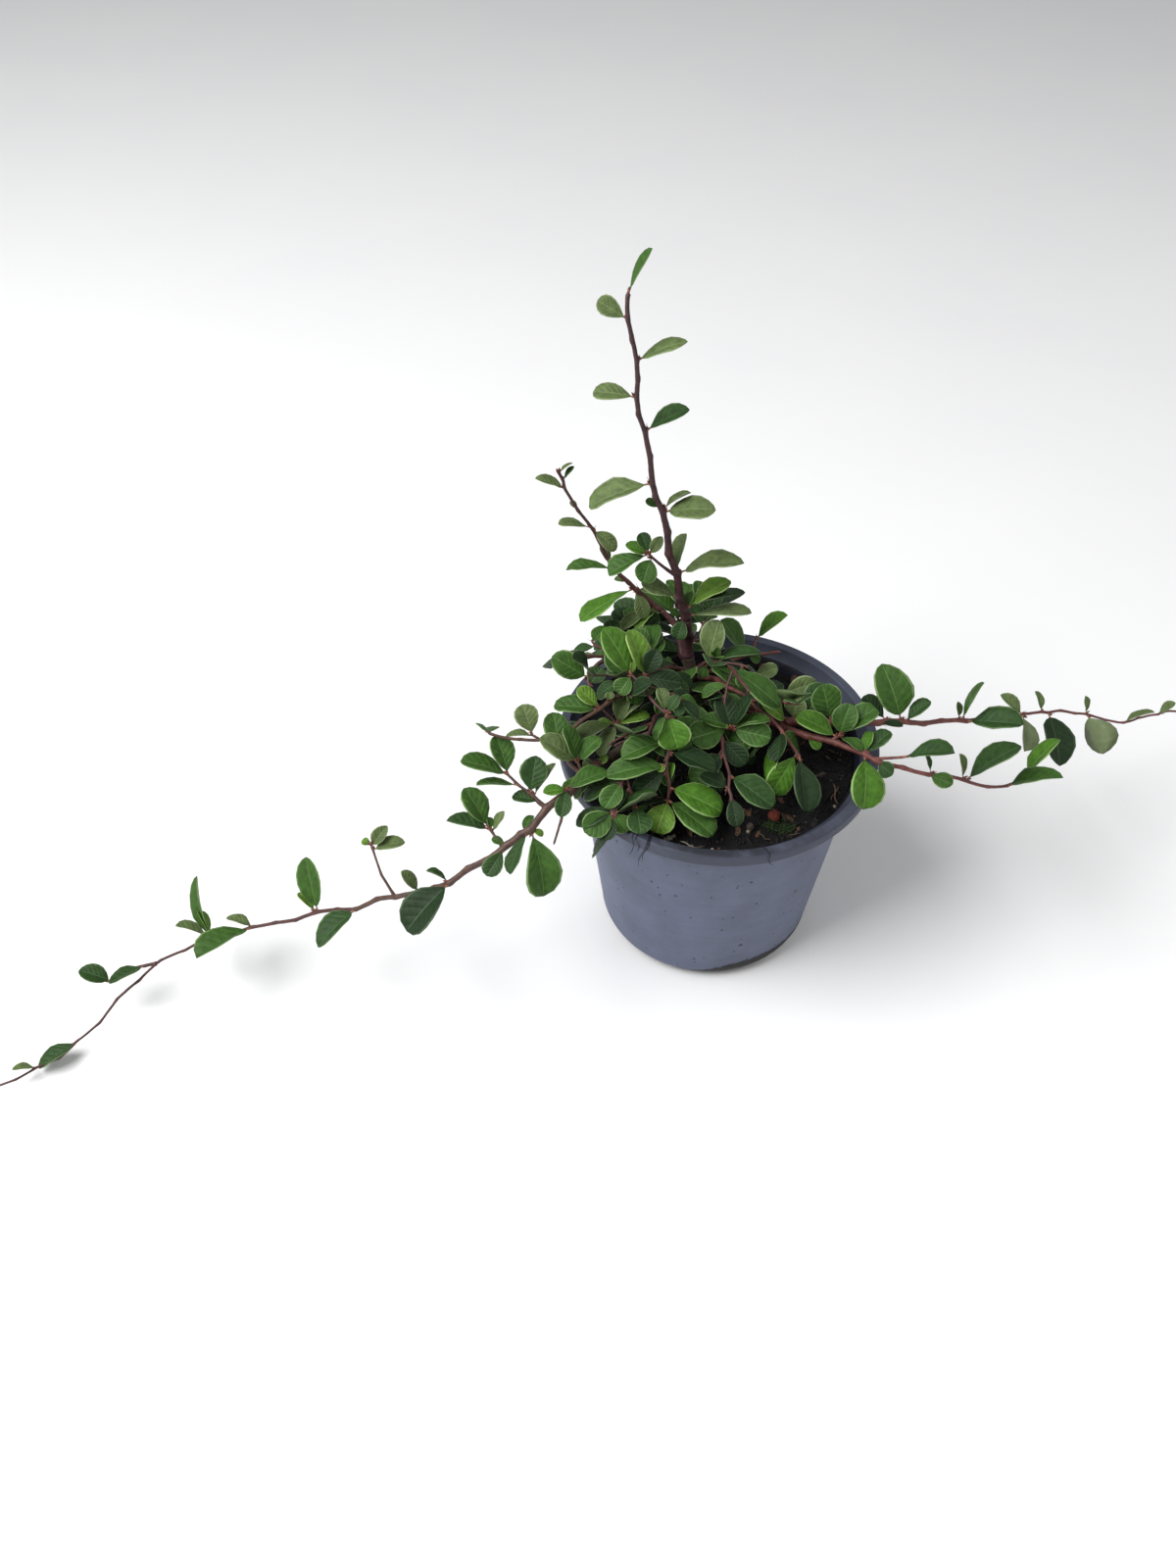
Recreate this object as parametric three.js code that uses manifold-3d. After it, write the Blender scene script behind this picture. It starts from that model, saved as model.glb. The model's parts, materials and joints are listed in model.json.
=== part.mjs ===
// A creeping evergreen shrub with small oval leaves, growing in a round nursery pot.
// Millimetres, Z up. The origin is the centre of the pot's flat underside.
import * as THREE from 'three';
import Module from 'manifold-3d';

const wasm = await Module();
wasm.setup();

// Pot: a 13 cm nursery container with a rolled rim
const RIM_RADIUS = 65;
const RIM_DEPTH = 6;
const RIM_INNER_RADIUS = 60.8;
const POT_HEIGHT = 105;
const WALL_TOP_RADIUS = 57.5;
const WALL_FOOT_RADIUS = 46.5;
const FOOT_CORNER = 9;
const WALL = 1.4;
const FLOOR = 2;
const POT_SIDES = 32;

// Soil: stops short of the rim, uneven on top
const SOIL_TOP = 96.6;
const SOIL_LUMP = 0.9;
const GAP = 0.3;

// Woody stem: a short leaning stump with a flare, hidden in the foliage
const STUMP_FOOT = new THREE.Vector3(-8, 28, SOIL_TOP + SOIL_LUMP + GAP);
const STUMP_LEAN = new THREE.Vector3(-1.2, 1.4, 14);
const STUMP_RADII = [7.4, 5.4, 4.5, 3.9, 3.2];
const STUMP_SIDES = 12;
const STUB = 9;

// Growth
const STEP = 2;
const LEAF_THICK = 0.5;
const LEAF_WIDE = 0.64;
const LEAF_FOLD = 0.2;
const LEAF_CURL = 0.14;
const LIFTS = [0, 24, -20, 46];
const CLEAR = 0.35;
const GROUND_CLEAR = 1.5;

// Light falls from up front. These spots of soil and ground stay open to it
const LIGHT = new THREE.Vector3(-52.9, -400.6, 505.4);
const OPEN_SPOTS = [[24, 60, 97], [31, 54, 97], [35, 51, 97], [38, 48, 97], [42, 45, 97], [32, 43, 97],
  [46, 41, 97], [51, 36, 97], [-52, 177, 0], [-62, 185, 0], [-48, 193, 0], [-57, 198, 0], [-59, 150, 0],
  [-115, 97, 0], [-108, 107, 0], [-52, 31, 0], [-50, 36, 0], [-48, 178, 0], [-55, 187, 0]];

// Fusing
const SMOOTH = 0.02;
const TINY = 0.002;
const NUDGES = [0, 0.05, -0.05, 0.08, -0.08, 0.11, -0.11];

// Shoots. Each has a height on the stump (0 foot, 1 top) or a place on another shoot, a length, radii at
// foot and tip, and a course of headings [turn about Z, rise] in degrees spread evenly along it. Its parts
// are named solids, each with the distance at which it ends. The set leaves have a row each: distance along
// the shoot, turn, rise, roll about the leaf's own length, length, and width as a share of it. The sides are
// twigs in a fixed place. Hidden leaves grow by dice instead, from a bare length on, with leaf lengths at
// both ends: L left, R right, T at the tip, small letters for small leaves, a dot for none. So do the twigs:
// their number, length and turn.
const SHOOTS = [
  {
    name: 'upright', height: 1, length: 168, radius: [2.4, 0.8],
    parts: [[27, 'bough_upright'], [168, 'spray_upright']],
    course: [[133, 72], [141, 80], [159, 75], [166, 77], [175, 76], [182, 78], [196, 82], [186, 87],
      [88, 56]],
    set: [[28.5, 355, 21, -20, 26.5, 0.62], [29, 242, -38, 0, 10, 0.75], [30.8, 72, 50, -16, 8.4, 0.62],
      [31.6, 26, 31, -8, 22.1, 0.62], [32.2, 1, 27, -20, 20, 0.62], [37.3, 171, 29, 0, 17, 0.62],
      [49.4, 359, 27, -12, 26.3, 0.62], [50.3, 76, 50, -44, 15.4, 0.62], [78.5, 351, 20, 8, 20.2, 0.62],
      [79.5, 29, 32, -24, 12.7, 0.62], [80.1, 172, 34, -40, 6.8, 0.62], [92.2, 184, -12, 0, 25.4, 0.62],
      [114.7, 6, 39, -4, 17.8, 0.62], [129.2, 169, 11, -4, 15.7, 0.62], [143.9, 1, 32, -8, 18.8, 0.62],
      [159.1, 164, 27, -52, 12.2, 0.62], [167.6, 31, 64, -24, 16.5, 0.62]],
    sides: [
      {
        at: 48, length: 15, radius: [0.9, 0.5],
        course: [[161, 28], [157, 34], [153, 41]],
        set: [[12.8, 243, -32, -12, 10.6, 0.81], [14, 28, 57, 40, 8.7, 0.62],
          [14.6, 176, 28, -28, 9.7, 0.62], [14.6, 122, 48, -20, 8.8, 0.62], [14.6, 191, -20, 4, 17.9, 0.62]],
      },
    ],
  },
  {
    name: 'back_left', height: 0.84, length: 111, radius: [1.7, 0.6],
    parts: [[32, 'bough_back_left'], [111, 'spray_back_left']],
    course: [[115, 32], [117, 48], [165, 36], [174, 47], [166, 66], [178, 63], [169, 63]],
    set: [[33.4, 203, -31, 8, 13.3, 0.62], [35.4, 190, -34, -20, 18.7, 0.42],
      [45.5, 296, -46, 16, 12.2, 0.62], [45.7, 350, 14, 0, 11.8, 0.62], [47, 203, -9, 24, 26.2, 0.62],
      [50.4, 163, 16, -12, 6.4, 0.62], [59.8, 173, 3, 12, 19.6, 0.62], [61.2, 144, 56, -8, 9.3, 0.62],
      [79.5, 337, -27, 24, 12.2, 0.62], [80.9, 183, 17, 12, 13.6, 0.62], [90.2, 141, 42, -24, 5.1, 0.62],
      [101.6, 176, 30, 8, 12.5, 0.62], [105.3, 31, 54, -16, 6.9, 0.62], [108.9, 34, 33, -20, 6.6, 0.62]],
  },
  {
    name: 'left_runner', height: 0.5, length: 377, radius: [2.4, 0.5],
    parts: [[68, 'bough_left'], [200, 'spray_left_inner'], [377, 'spray_left_outer']],
    course: [[238, 15], [240, 17], [234, 8], [229, 2], [221, -12], [218, -29], [193, -31], [185, -40],
      [160, -26], [170, -39], [162, -26], [175, -30], [175, -19], [190, -16], [209, -15], [230, -18],
      [231, -14], [215, -1], [200, -4]],
    set: [[71.2, 174, 6, -36, 5.9, 0.62], [71.7, 17, 38, 32, 5.6, 0.62], [72.2, 221, -34, 20, 15.2, 0.62],
      [76.7, 201, -33, 0, 14.4, 0.62], [108.1, 294, -38, -8, 26, 0.62], [108.1, 342, -19, 8, 5.5, 0.62],
      [108.6, 236, -20, 24, 18.1, 0.46], [111.9, 71, 16, -8, 9.3, 0.44], [119, 166, 24, -8, 6.4, 0.54],
      [120, 239, -16, -24, 13.1, 0.62], [147.1, 218, -20, 0, 25.1, 0.62], [147.4, 161, 36, 32, 10.1, 0.62],
      [163, 145, 46, 24, 11, 0.62], [196.9, 215, -17, 20, 21.5, 0.62], [218.6, 110, 54, -40, 23.5, 0.47],
      [219.6, 135, 35, 28, 11, 0.62], [251.8, 163, 24, 28, 12, 0.62], [252.5, 217, 7, 20, 26.1, 0.62],
      [271.9, 164, 23, 44, 15.4, 0.62], [272.1, 110, 52, 68, 12.3, 0.62], [272.6, 117, 52, -60, 26.5, 0.42],
      [341.3, 218, -5, 12, 18.1, 0.62], [359.9, 195, 32, 24, 9.4, 0.62]],
    sides: [
      {
        at: 79, length: 26, radius: [1, 0.5],
        course: [[144, 33], [151, 30], [158, 26]],
        set: [[13.2, 100, 45, 12, 15.7, 0.62], [24.9, 172, 5, 28, 11.1, 0.62],
          [25.6, 122, 60, -16, 12.3, 0.7]],
      },
      {
        at: 79, length: 7, radius: [0.8, 0.5],
        course: [[144, 58], [144, 58]],
        set: [[6.3, 115, 56, 40, 15.1, 0.62], [6.6, 172, 46, -16, 18.3, 0.62],
          [6.6, 48, 34, -20, 13.1, 0.62]],
      },
      {
        at: 89, length: 20, radius: [0.8, 0.45],
        course: [[251, -41], [249, -41], [247, -41]],
      },
      {
        at: 98, length: 20, radius: [1, 0.5],
        course: [[150, 25], [147, 27], [144, 28]],
        set: [[3.4, 163, 16, 4, 10.8, 0.62], [6.8, 59, 33, -36, 15.4, 0.42], [8.4, 72, 59, 8, 14.6, 0.72],
          [14, 186, 17, 20, 16.1, 0.62], [19.6, 174, 29, 16, 18.9, 0.62], [19.6, 107, 44, 12, 15.6, 0.62]],
      },
      {
        at: 121, length: 10, radius: [0.8, 0.5],
        course: [[137, 32], [137, 32]],
        set: [[7.4, 54, 48, -32, 9.4, 0.62], [8.2, 97, 41, 24, 5.3, 0.62], [8.6, 165, 16, 12, 17, 0.62],
          [9.5, 135, 53, 4, 17.9, 0.62]],
      },
      {
        at: 175, length: 23, radius: [0.7, 0.45],
        course: [[127, 37], [125, 37], [123, 38]],
        set: [[20.7, 14, 20, -8, 12.8, 0.62], [22.2, 39, 41, 16, 10.1, 0.62],
          [22.4, 153, 30, -24, 4.3, 0.72]],
      },
      {
        at: 297, length: 21, radius: [0.8, 0.5],
        course: [[185, 2], [201, -11], [218, -25]],
        set: [[4.7, 215, 11, 24, 16.3, 0.62], [20.3, 171, 28, -12, 14.1, 0.62]],
      },
    ],
  },
  {
    name: 'right_upper', height: 0.6, length: 271, radius: [2.4, 0.5],
    parts: [[46, 'bough_right'], [150, 'spray_right_upper_inner'], [271, 'spray_right_upper_outer']],
    course: [[308, 12], [319, 7], [340, 7], [361, 3], [370, -12], [382, -18], [388, -21], [390, -21],
      [391, -20], [379, -28], [378, -27], [393, -8], [374, -21]],
    set: [[47.4, 189, 51, -16, 16.3, 0.62], [48.6, 63, 62, 4, 10.6, 0.86], [51, 33, 39, 24, 18.3, 0.73],
      [64.2, 128, 67, -32, 16.7, 0.7], [83, 345, 9, 16, 10, 0.42], [87.1, 133, 26, 12, 13.9, 0.62],
      [93.5, 118, 58, -8, 24.3, 0.62], [94.9, 17, 49, -16, 13.1, 0.62], [123.1, 85, 43, 48, 7.7, 0.62],
      [124.4, 52, 59, -60, 18.3, 0.62], [126.6, 336, 21, 8, 23, 0.62], [177.2, 97, 40, 40, 9.5, 0.62],
      [180.8, 284, -23, -8, 23.7, 0.62], [207.5, 89, 58, 52, 8.1, 0.62], [208.4, 311, -41, -88, 19, 0.86],
      [232.1, 13, 31, -40, 14, 0.62], [256, 6, 52, -16, 9.3, 0.62]],
    sides: [
      {
        at: 144, length: 13, radius: [0.8, 0.5],
        course: [[3, 3], [3, 3]],
        set: [[12.4, 145, 34, 0, 12.2, 0.62], [12.6, 290, -51, -88, 15.4, 0.86]],
      },
    ],
  },
  {
    name: 'right_lower', on: 'right_upper', at: 33, length: 129, radius: [1.8, 0.6], stub: 12,
    parts: [[129, 'spray_right_lower']],
    course: [[309, -3], [328, 15], [327, 1], [341, -11], [362, -12], [366, -26], [389, -25], [387, 1]],
    set: [[24.7, 317, -7, 12, 7.8, 0.62], [49.1, 68, 44, -36, 9.5, 0.62], [49.2, 273, -25, -16, 21.4, 0.77],
      [49.7, 35, 39, 0, 13.2, 0.62], [54.6, 317, -13, 56, 8.1, 0.82], [75.6, 322, 5, 36, 10, 0.69],
      [76.8, 95, 38, 52, 9.7, 0.62], [91.7, 95, 54, 56, 10.5, 0.62], [92.9, 26, 35, -32, 25.1, 0.62],
      [115.7, 354, 37, -16, 21.5, 0.62], [127.3, 49, 42, -52, 20, 0.62]],
    sides: [
      {
        at: 35, length: 5, radius: [0.8, 0.5],
        course: [[354, 48], [354, 48]],
        set: [[3.2, 150, 16, -4, 17.9, 0.62], [4.1, 321, -4, -4, 10.9, 0.62], [4.4, 64, 63, 0, 13.2, 0.81],
          [4.6, 29, 35, -8, 17.7, 0.62]],
      },
      {
        at: 53, length: 12, radius: [0.8, 0.5],
        course: [[355, 15], [355, 15]],
        set: [[11.6, 347, 26, -8, 19.5, 0.62]],
      },
    ],
  },
  {
    name: 'front', height: 0.68, length: 89, radius: [1.5, 0.6], seed: 31, bare: 18, leaf: [17, 18],
    lift: -34, leaves: 'LR LR LR L R', parts: [[89, 'mound_front']],
    course: [[265, 32], [256, 34], [251, 22], [262, -32], [296, -87]],
    set: [[64.7, 195, 2, 4, 18.2, 0.62], [68.6, 337, 4, -4, 19.3, 0.62], [71.6, 135, 30, 12, 8.3, 0.62],
      [72.7, 223, -17, -8, 5.1, 0.62], [73.8, 189, 7, 0, 23.3, 0.49], [75.6, 206, -24, -28, 15.5, 0.62],
      [80.9, 81, 43, -24, 8.1, 0.62], [82.7, 342, -11, 0, 22.3, 0.62], [88.6, 247, -23, -4, 13.8, 0.86],
      [88.6, 321, -8, -12, 22, 0.62]],
  },
  {
    name: 'front_right', height: 0.6, length: 80, radius: [1.5, 0.6], seed: 32, bare: 18, leaf: [17, 18],
    lift: -34, leaves: 'LR LR LR R', parts: [[80, 'mound_front_right']],
    course: [[283, 40], [277, 6], [274, -26]],
    set: [[24, 199, -2, -36, 5.8, 0.83], [51.8, 318, -28, 28, 13.6, 0.62], [58.8, 221, -17, -20, 9.1, 0.84],
      [68.7, 330, -19, 4, 20.9, 0.62], [74.4, 151, 17, 4, 12, 0.62], [76.9, 283, -23, 0, 12.3, 0.62]],
    sides: [
      {
        at: 43, length: 8, radius: [0.8, 0.5],
        course: [[318, 16], [318, 16]],
        set: [[5.5, 209, 3, -32, 16, 0.72], [6.7, 167, 27, -4, 11.1, 0.62], [7.2, 108, 44, -12, 14.1, 0.62],
          [7.6, 334, 7, 40, 15.6, 0.62], [7.6, 161, 10, -8, 8.2, 0.62], [7.6, 1, 29, -16, 15.2, 0.62],
          [7.6, 49, 56, -36, 15.1, 0.62]],
      },
    ],
  },
  {
    name: 'right_front', height: 0.85, length: 72, radius: [1.5, 0.6], seed: 40, bare: 18, leaf: [17, 20],
    lift: -30, leaves: 'LR L R LR R', twigs: [1, 20, 46], parts: [[72, 'mound_right_front']],
    course: [[303, 44], [305, 6], [307, -24]],
    set: [[58.7, 257, 0, 40, 14.5, 0.62], [61.5, 231, -44, 40, 19.9, 0.62], [69.6, 230, -31, -36, 18, 0.62],
      [70.9, 275, -26, -16, 22.4, 0.62]],
  },
  {
    name: 'front_left', height: 0.85, length: 103, radius: [1.6, 0.6], seed: 33, bare: 20, leaf: [17, 18],
    lift: -34, leaves: 'LR LR L LR R', twigs: [1, 20, 46], parts: [[103, 'mound_front_left']],
    course: [[252, 48], [247, 12], [241, -16], [262, -52]],
    set: [[81.4, 238, -21, -12, 12.9, 0.73], [93.1, 191, -12, 0, 15.8, 0.62], [94, 308, -33, 16, 9, 0.86],
      [94.1, 217, -9, -28, 13.8, 0.7], [94.5, 23, 19, -40, 17.9, 0.86], [95.2, 242, -21, -12, 10.7, 0.76]],
  },
  {
    name: 'left', height: 0.75, length: 112, radius: [1.6, 0.6], seed: 35, bare: 20, leaf: [17, 17],
    lift: -24, leaves: 'LR L R L LR . R LR', twigs: [2, 20, 46], parts: [[112, 'mound_left']],
    course: [[230, 46], [227, 18], [220, -8], [160, 10]],
    set: [[58.3, 81, 63, 0, 4.1, 0.86], [63.4, 155, 43, 0, 11.9, 0.62], [64, 174, 6, -4, 17.6, 0.62]],
  },
  {
    name: 'left_back', height: 0.78, length: 62, radius: [1.5, 0.6], seed: 36, bare: 18, leaf: [17, 18],
    lift: -46, leaves: 'R R R R', parts: [[62, 'mound_left_back']],
    course: [[206, 50], [202, 26], [182, 14]],
    sides: [
      {
        at: 46, length: 35, radius: [1, 0.5],
        course: [[193, -18], [251, -26], [326, -28], [310, -12]],
        set: [[11.9, 173, 33, -44, 16.7, 0.62], [15.1, 49, 40, 20, 8.7, 0.86],
          [33.3, 186, -9, -8, 7.9, 0.62], [33.9, 201, -3, 16, 18.2, 0.62], [34.6, 63, 51, 12, 13.2, 0.53],
          [34.6, 43, 33, -24, 14.7, 0.62], [34.6, 1, 24, -4, 13.3, 0.62], [34.6, 232, -40, 20, 14.9, 0.62]],
      },
    ],
  },
  {
    name: 'back', height: 0.7, length: 38, radius: [1.4, 0.6], seed: 37, bare: 16, leaf: [17, 17], lift: 0,
    leaves: 'LR L R L RT', twigs: [1, 18, 50], parts: [[38, 'mound_back']],
    course: [[150, 24], [142, 8], [134, -2]],
  },
  {
    name: 'behind', height: 0.7, length: 40, radius: [1.4, 0.6], seed: 45, bare: 14, leaf: [17, 17],
    lift: 4, leaves: 'LR L R L RT', twigs: [1, 18, 50], parts: [[40, 'mound_behind']],
    course: [[104, 32], [100, 16], [96, 0]],
  },
  {
    name: 'right_back', height: 0.6, length: 40, radius: [1.3, 0.6], seed: 44, bare: 14, leaf: [16, 16],
    lift: -30, leaves: 'L .', parts: [[40, 'mound_right_back']],
    course: [[22, 38], [14, 14], [6, 0]],
    set: [[24.8, 137, 51, 16, 18, 0.62], [25.7, 336, -6, 44, 5.9, 0.62]],
    sides: [
      {
        at: 28, length: 7, radius: [0.8, 0.5],
        course: [[82, 51], [82, 51]],
        set: [[6.6, 17, 47, -4, 16.6, 0.62]],
      },
    ],
  },
  {
    name: 'right', height: 0.8, length: 44, radius: [1.3, 0.6], seed: 46, bare: 16, leaf: [16, 18],
    lift: -26, leaves: 'R R R', parts: [[44, 'mound_right']],
    course: [[345, 47], [338, 20], [327, 2], [305, 2]],
    set: [[28, 354, 29, 44, 10.5, 0.62], [39.3, 200, -8, -8, 13.5, 0.62], [43.6, 8, 21, 48, 14.2, 0.62]],
  },
  {
    name: 'centre', height: 0.95, length: 74, radius: [1.5, 0.6], seed: 38, bare: 18, leaf: [16, 17],
    lift: -30, leaves: 'LR L R LR', parts: [[74, 'mound_centre']],
    course: [[240, 52], [235, 42], [231, 29], [264, 12], [332, -23]],
    set: [[49.5, 116, 60, 24, 19.4, 0.62], [49.5, 352, -3, 40, 14.7, 0.62], [49.5, 42, 58, 24, 12, 0.7],
      [72.8, 100, 44, 32, 9.6, 0.62], [73.6, 41, 55, 0, 8.2, 0.62], [73.6, 294, -41, 12, 14.1, 0.86],
      [73.6, 237, -28, 40, 11, 0.62]],
    sides: [
      {
        at: 58, length: 8, radius: [0.8, 0.5],
        course: [[139, 16], [139, 16]],
        set: [[7.6, 138, 54, 8, 21.1, 0.62], [7.6, 225, -38, -20, 8.8, 0.86], [7.6, 76, 61, 36, 5.1, 0.5]],
      },
    ],
  },
  {
    name: 'centre_right', height: 0.95, length: 60, radius: [1.4, 0.6], seed: 39, bare: 18, leaf: [16, 17],
    lift: -34, leaves: 'L R LR L R', parts: [[60, 'mound_centre_right']],
    course: [[296, 68], [292, 34], [292, 0]],
    set: [[17.7, 58, 64, 0, 17.9, 0.62], [18, 235, -44, -12, 6.4, 0.76], [18.7, 323, -9, 4, 15.6, 0.62],
      [19.7, 354, 21, -16, 21.5, 0.62], [42.2, 334, -20, -8, 24.1, 0.62]],
  },
];

// Colours
const POT_COLOUR = 0x676d7d;
const SOIL_COLOUR = 0x1d1714;
const BARK_COLOUR = 0x5a3028;
const LEAF_COLOUR = 0x3f6b2c;

// A repeatable dice: the same seed always grows the same shoot
class Dice {
  constructor(seed) {
    this.state = (seed * 7919 + 13) % 2147483647;
    this.roll();
    this.roll();
    this.roll();
  }
  roll() {
    this.state = (this.state * 48271) % 2147483647;
    return this.state / 2147483647;
  }
  near(spread) {
    return (2 * this.roll() - 1) * spread;
  }
}

const radians = (degrees) => (degrees * Math.PI) / 180;
const mix = (a, b, t) => a + (b - a) * t;

// Unit vector with a given turn about Z and rise above level
function heading(turn, rise) {
  const a = radians(turn);
  const p = radians(rise);
  return new THREE.Vector3(Math.cos(p) * Math.cos(a), Math.cos(p) * Math.sin(a), Math.sin(p));
}

// Heading at a fraction of the way along a course
function courseAt(course, fraction) {
  const x = Math.min(Math.max(fraction, 0), 0.999999) * (course.length - 1);
  const i = Math.floor(x);
  return [0, 1].map((k) => mix(course[i][k], course[i + 1][k], x - i));
}

// Centre line of a shoot: points at even steps from its start
function centreLine(start, course, length) {
  const count = Math.max(2, Math.round(length / STEP));
  const points = [start.clone()];
  for (let i = 0; i < count; i++) {
    const [turn, rise] = courseAt(course, (i + 0.5) / count);
    points.push(points[i].clone().addScaledVector(heading(turn, rise), length / count));
  }
  return points;
}

// Point and direction on a centre line at a distance from its start
function pointAt(points, distance) {
  const last = points.length - 1;
  const step = points[0].distanceTo(points[1]);
  const x = Math.min(Math.max(distance / step, 0), last - 1e-6);
  const i = Math.floor(x);
  const along = points[i + 1].clone().sub(points[i]).normalize();
  return { point: points[i].clone().lerp(points[i + 1], x - i), along };
}

// A plain solid: corner points and triangles of point numbers, facing out
const solid = (points, faces) => ({ points, faces });

// Tapering tube through rings of a point, a direction and a radius, closed by flat ends
function tube(rings, sides) {
  const corners = [];
  const faces = [];
  let across = null;
  for (const { point, along, radius } of rings) {
    if (!across) {
      const helper = Math.abs(along.z) > 0.8 ? new THREE.Vector3(0, 1, 0) : new THREE.Vector3(0, 0, 1);
      across = helper.cross(along).normalize();
    }
    across.addScaledVector(along, -across.dot(along)).normalize();
    const up = along.clone().cross(across);
    for (let k = 0; k < sides; k++) {
      const a = (2 * Math.PI * k) / sides;
      const corner = point.clone().addScaledVector(across, radius * Math.cos(a));
      corners.push(corner.addScaledVector(up, radius * Math.sin(a)));
    }
  }
  for (let i = 0; i < rings.length - 1; i++) {
    for (let k = 0; k < sides; k++) {
      const a = i * sides + k;
      const b = i * sides + ((k + 1) % sides);
      faces.push([a, b, b + sides], [a, b + sides, a + sides]);
    }
  }
  const end = (rings.length - 1) * sides;
  for (let k = 1; k < sides - 1; k++) {
    faces.push([0, k + 1, k], [end, end + k, end + k + 1]);
  }
  return solid(corners, faces);
}

// Limb: the tube of a shoot between two distances, cut a little short at both
function limb(shoot, from, to, sides, extra = 0) {
  const count = Math.max(2, Math.ceil((to - from) / (sides > 3 ? 8 : 11)));
  const rings = [];
  for (let i = 0; i <= count; i++) {
    const s = mix(from, to, i / count);
    const radius = mix(shoot.radius[0], shoot.radius[1], s / shoot.length) + extra;
    rings.push({ ...pointAt(shoot.line, s), radius });
  }
  return tube(rings, sides);
}

// Leaf: an oval blade folded along its middle and curling down, from a narrow root
function leafSolid(leaf, extra = 0) {
  const side = leaf.along.clone().cross(leaf.face);
  const length = leaf.length + extra;
  const half = (leaf.length * leaf.wide) / 2 + extra;
  const thick = LEAF_THICK / 2 + extra;
  const spot = (along, across, above) => {
    const rise = Math.abs(across) * half * LEAF_FOLD * 2 - LEAF_CURL * length * along * along + above;
    return leaf.root.clone()
      .addScaledVector(leaf.along, length * along)
      .addScaledVector(side, half * across)
      .addScaledVector(leaf.face, rise);
  };
  const root = (0.45 + extra) / half;
  const points = [
    spot(0, root, 0), spot(0.4, 0.9, 0), spot(0.76, 0.86, 0), spot(1, 0, 0),
    spot(0.76, -0.86, 0), spot(0.4, -0.9, 0), spot(0, -root, 0),
    spot(0.56, 0, thick), spot(0.56, 0, -thick),
  ];
  const faces = [];
  for (let k = 0; k < 7; k++) {
    const next = (k + 1) % 7;
    faces.push([7, k, next], [8, next, k]);
  }
  return solid(points, faces);
}

// True where the line from a to b passes through the triangle p, q, r
function pierces(a, b, p, q, r) {
  const ab = b.clone().sub(a);
  const pq = q.clone().sub(p);
  const pr = r.clone().sub(p);
  const h = ab.clone().cross(pr);
  const det = pq.dot(h);
  if (Math.abs(det) < 1e-9) return false;
  const s = a.clone().sub(p);
  const u = s.dot(h) / det;
  if (u < 0 || u > 1) return false;
  const k = s.clone().cross(pq);
  const v = ab.dot(k) / det;
  if (v < 0 || u + v > 1) return false;
  const t = pr.dot(k) / det;
  return t >= 0 && t <= 1;
}

// True where any edge of one solid passes through a face of the other
function edgesPierce(one, other) {
  for (const face of one.faces) {
    for (let k = 0; k < 3; k++) {
      const i = face[k];
      const j = face[(k + 1) % 3];
      if (i > j) continue;
      const a = one.points[i];
      const b = one.points[j];
      for (const [p, q, r] of other.faces) {
        if (pierces(a, b, other.points[p], other.points[q], other.points[r])) return true;
      }
    }
  }
  return false;
}

// Solids already placed: the part's name, the shoot they belong to, and the root of each leaf
const placed = [];

function place(name, shape, shoot, root) {
  placed.push({ name, shape, shoot, root, box: new THREE.Box3().setFromPoints(shape.points) });
}

// True where a solid keeps clear of the placed solids for which the given test holds
function keepsClear(shape, matters) {
  const box = new THREE.Box3().setFromPoints(shape.points);
  return !placed.some((other) => matters(other) && other.box.intersectsBox(box)
    && (edgesPierce(shape, other.shape) || edgesPierce(other.shape, shape)));
}

// True where every edge of a solid stays above the soil and the ground, and off the pot
function offThePot(shape) {
  for (const [i, j, k] of shape.faces) {
    const ends = [shape.points[i], shape.points[j], shape.points[k]];
    for (let e = 0; e < 3; e++) {
      for (let n = 0; n < 6; n++) {
        const spot = ends[e].clone().lerp(ends[(e + 1) % 3], n / 6);
        const reach = Math.hypot(spot.x, spot.y);
        if (spot.z < GROUND_CLEAR) return false;
        if (reach > RIM_RADIUS + 1) continue;
        if (spot.z < SOIL_TOP + SOIL_LUMP + CLEAR) return false;
        if (spot.z < POT_HEIGHT + CLEAR && reach > RIM_INNER_RADIUS - 1.5) return false;
      }
    }
  }
  return true;
}

// Outer radius of the pot wall at a height
function wallRadius(height) {
  const top = POT_HEIGHT - RIM_DEPTH;
  return mix(WALL_FOOT_RADIUS, WALL_TOP_RADIUS, (height - FOOT_CORNER) / (top - FOOT_CORNER));
}

// Quarter circle profile from straight down to straight out
function corner(radius, middleRadius, middleHeight, count) {
  const profile = [];
  for (let i = 0; i <= count; i++) {
    const a = (Math.PI / 2) * (i / count);
    profile.push([middleRadius + radius * Math.sin(a), middleHeight - radius * Math.cos(a)]);
  }
  return profile;
}

// Solid turned about Z from a profile of [radius, height] that starts and ends on the axis
function turned(profile, sides, bump = () => 0) {
  const points = [];
  const faces = [];
  const rings = profile.map(([radius, height]) => {
    const ring = [];
    for (let k = 0; k < (radius > 0 ? sides : 1); k++) {
      const a = (2 * Math.PI * k) / sides;
      const x = radius * Math.cos(a);
      const y = radius * Math.sin(a);
      ring.push(points.length);
      points.push(new THREE.Vector3(x, y, height + bump(x, y, height)));
    }
    return ring;
  });
  for (let i = 0; i < rings.length - 1; i++) {
    const lower = rings[i];
    const upper = rings[i + 1];
    for (let k = 0; k < sides; k++) {
      const next = (k + 1) % sides;
      if (lower.length > 1) faces.push([lower[k], lower[next], upper[next % upper.length]]);
      if (upper.length > 1) faces.push([lower[k % lower.length], upper[next], upper[k]]);
    }
  }
  return solid(points, faces);
}

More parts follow.
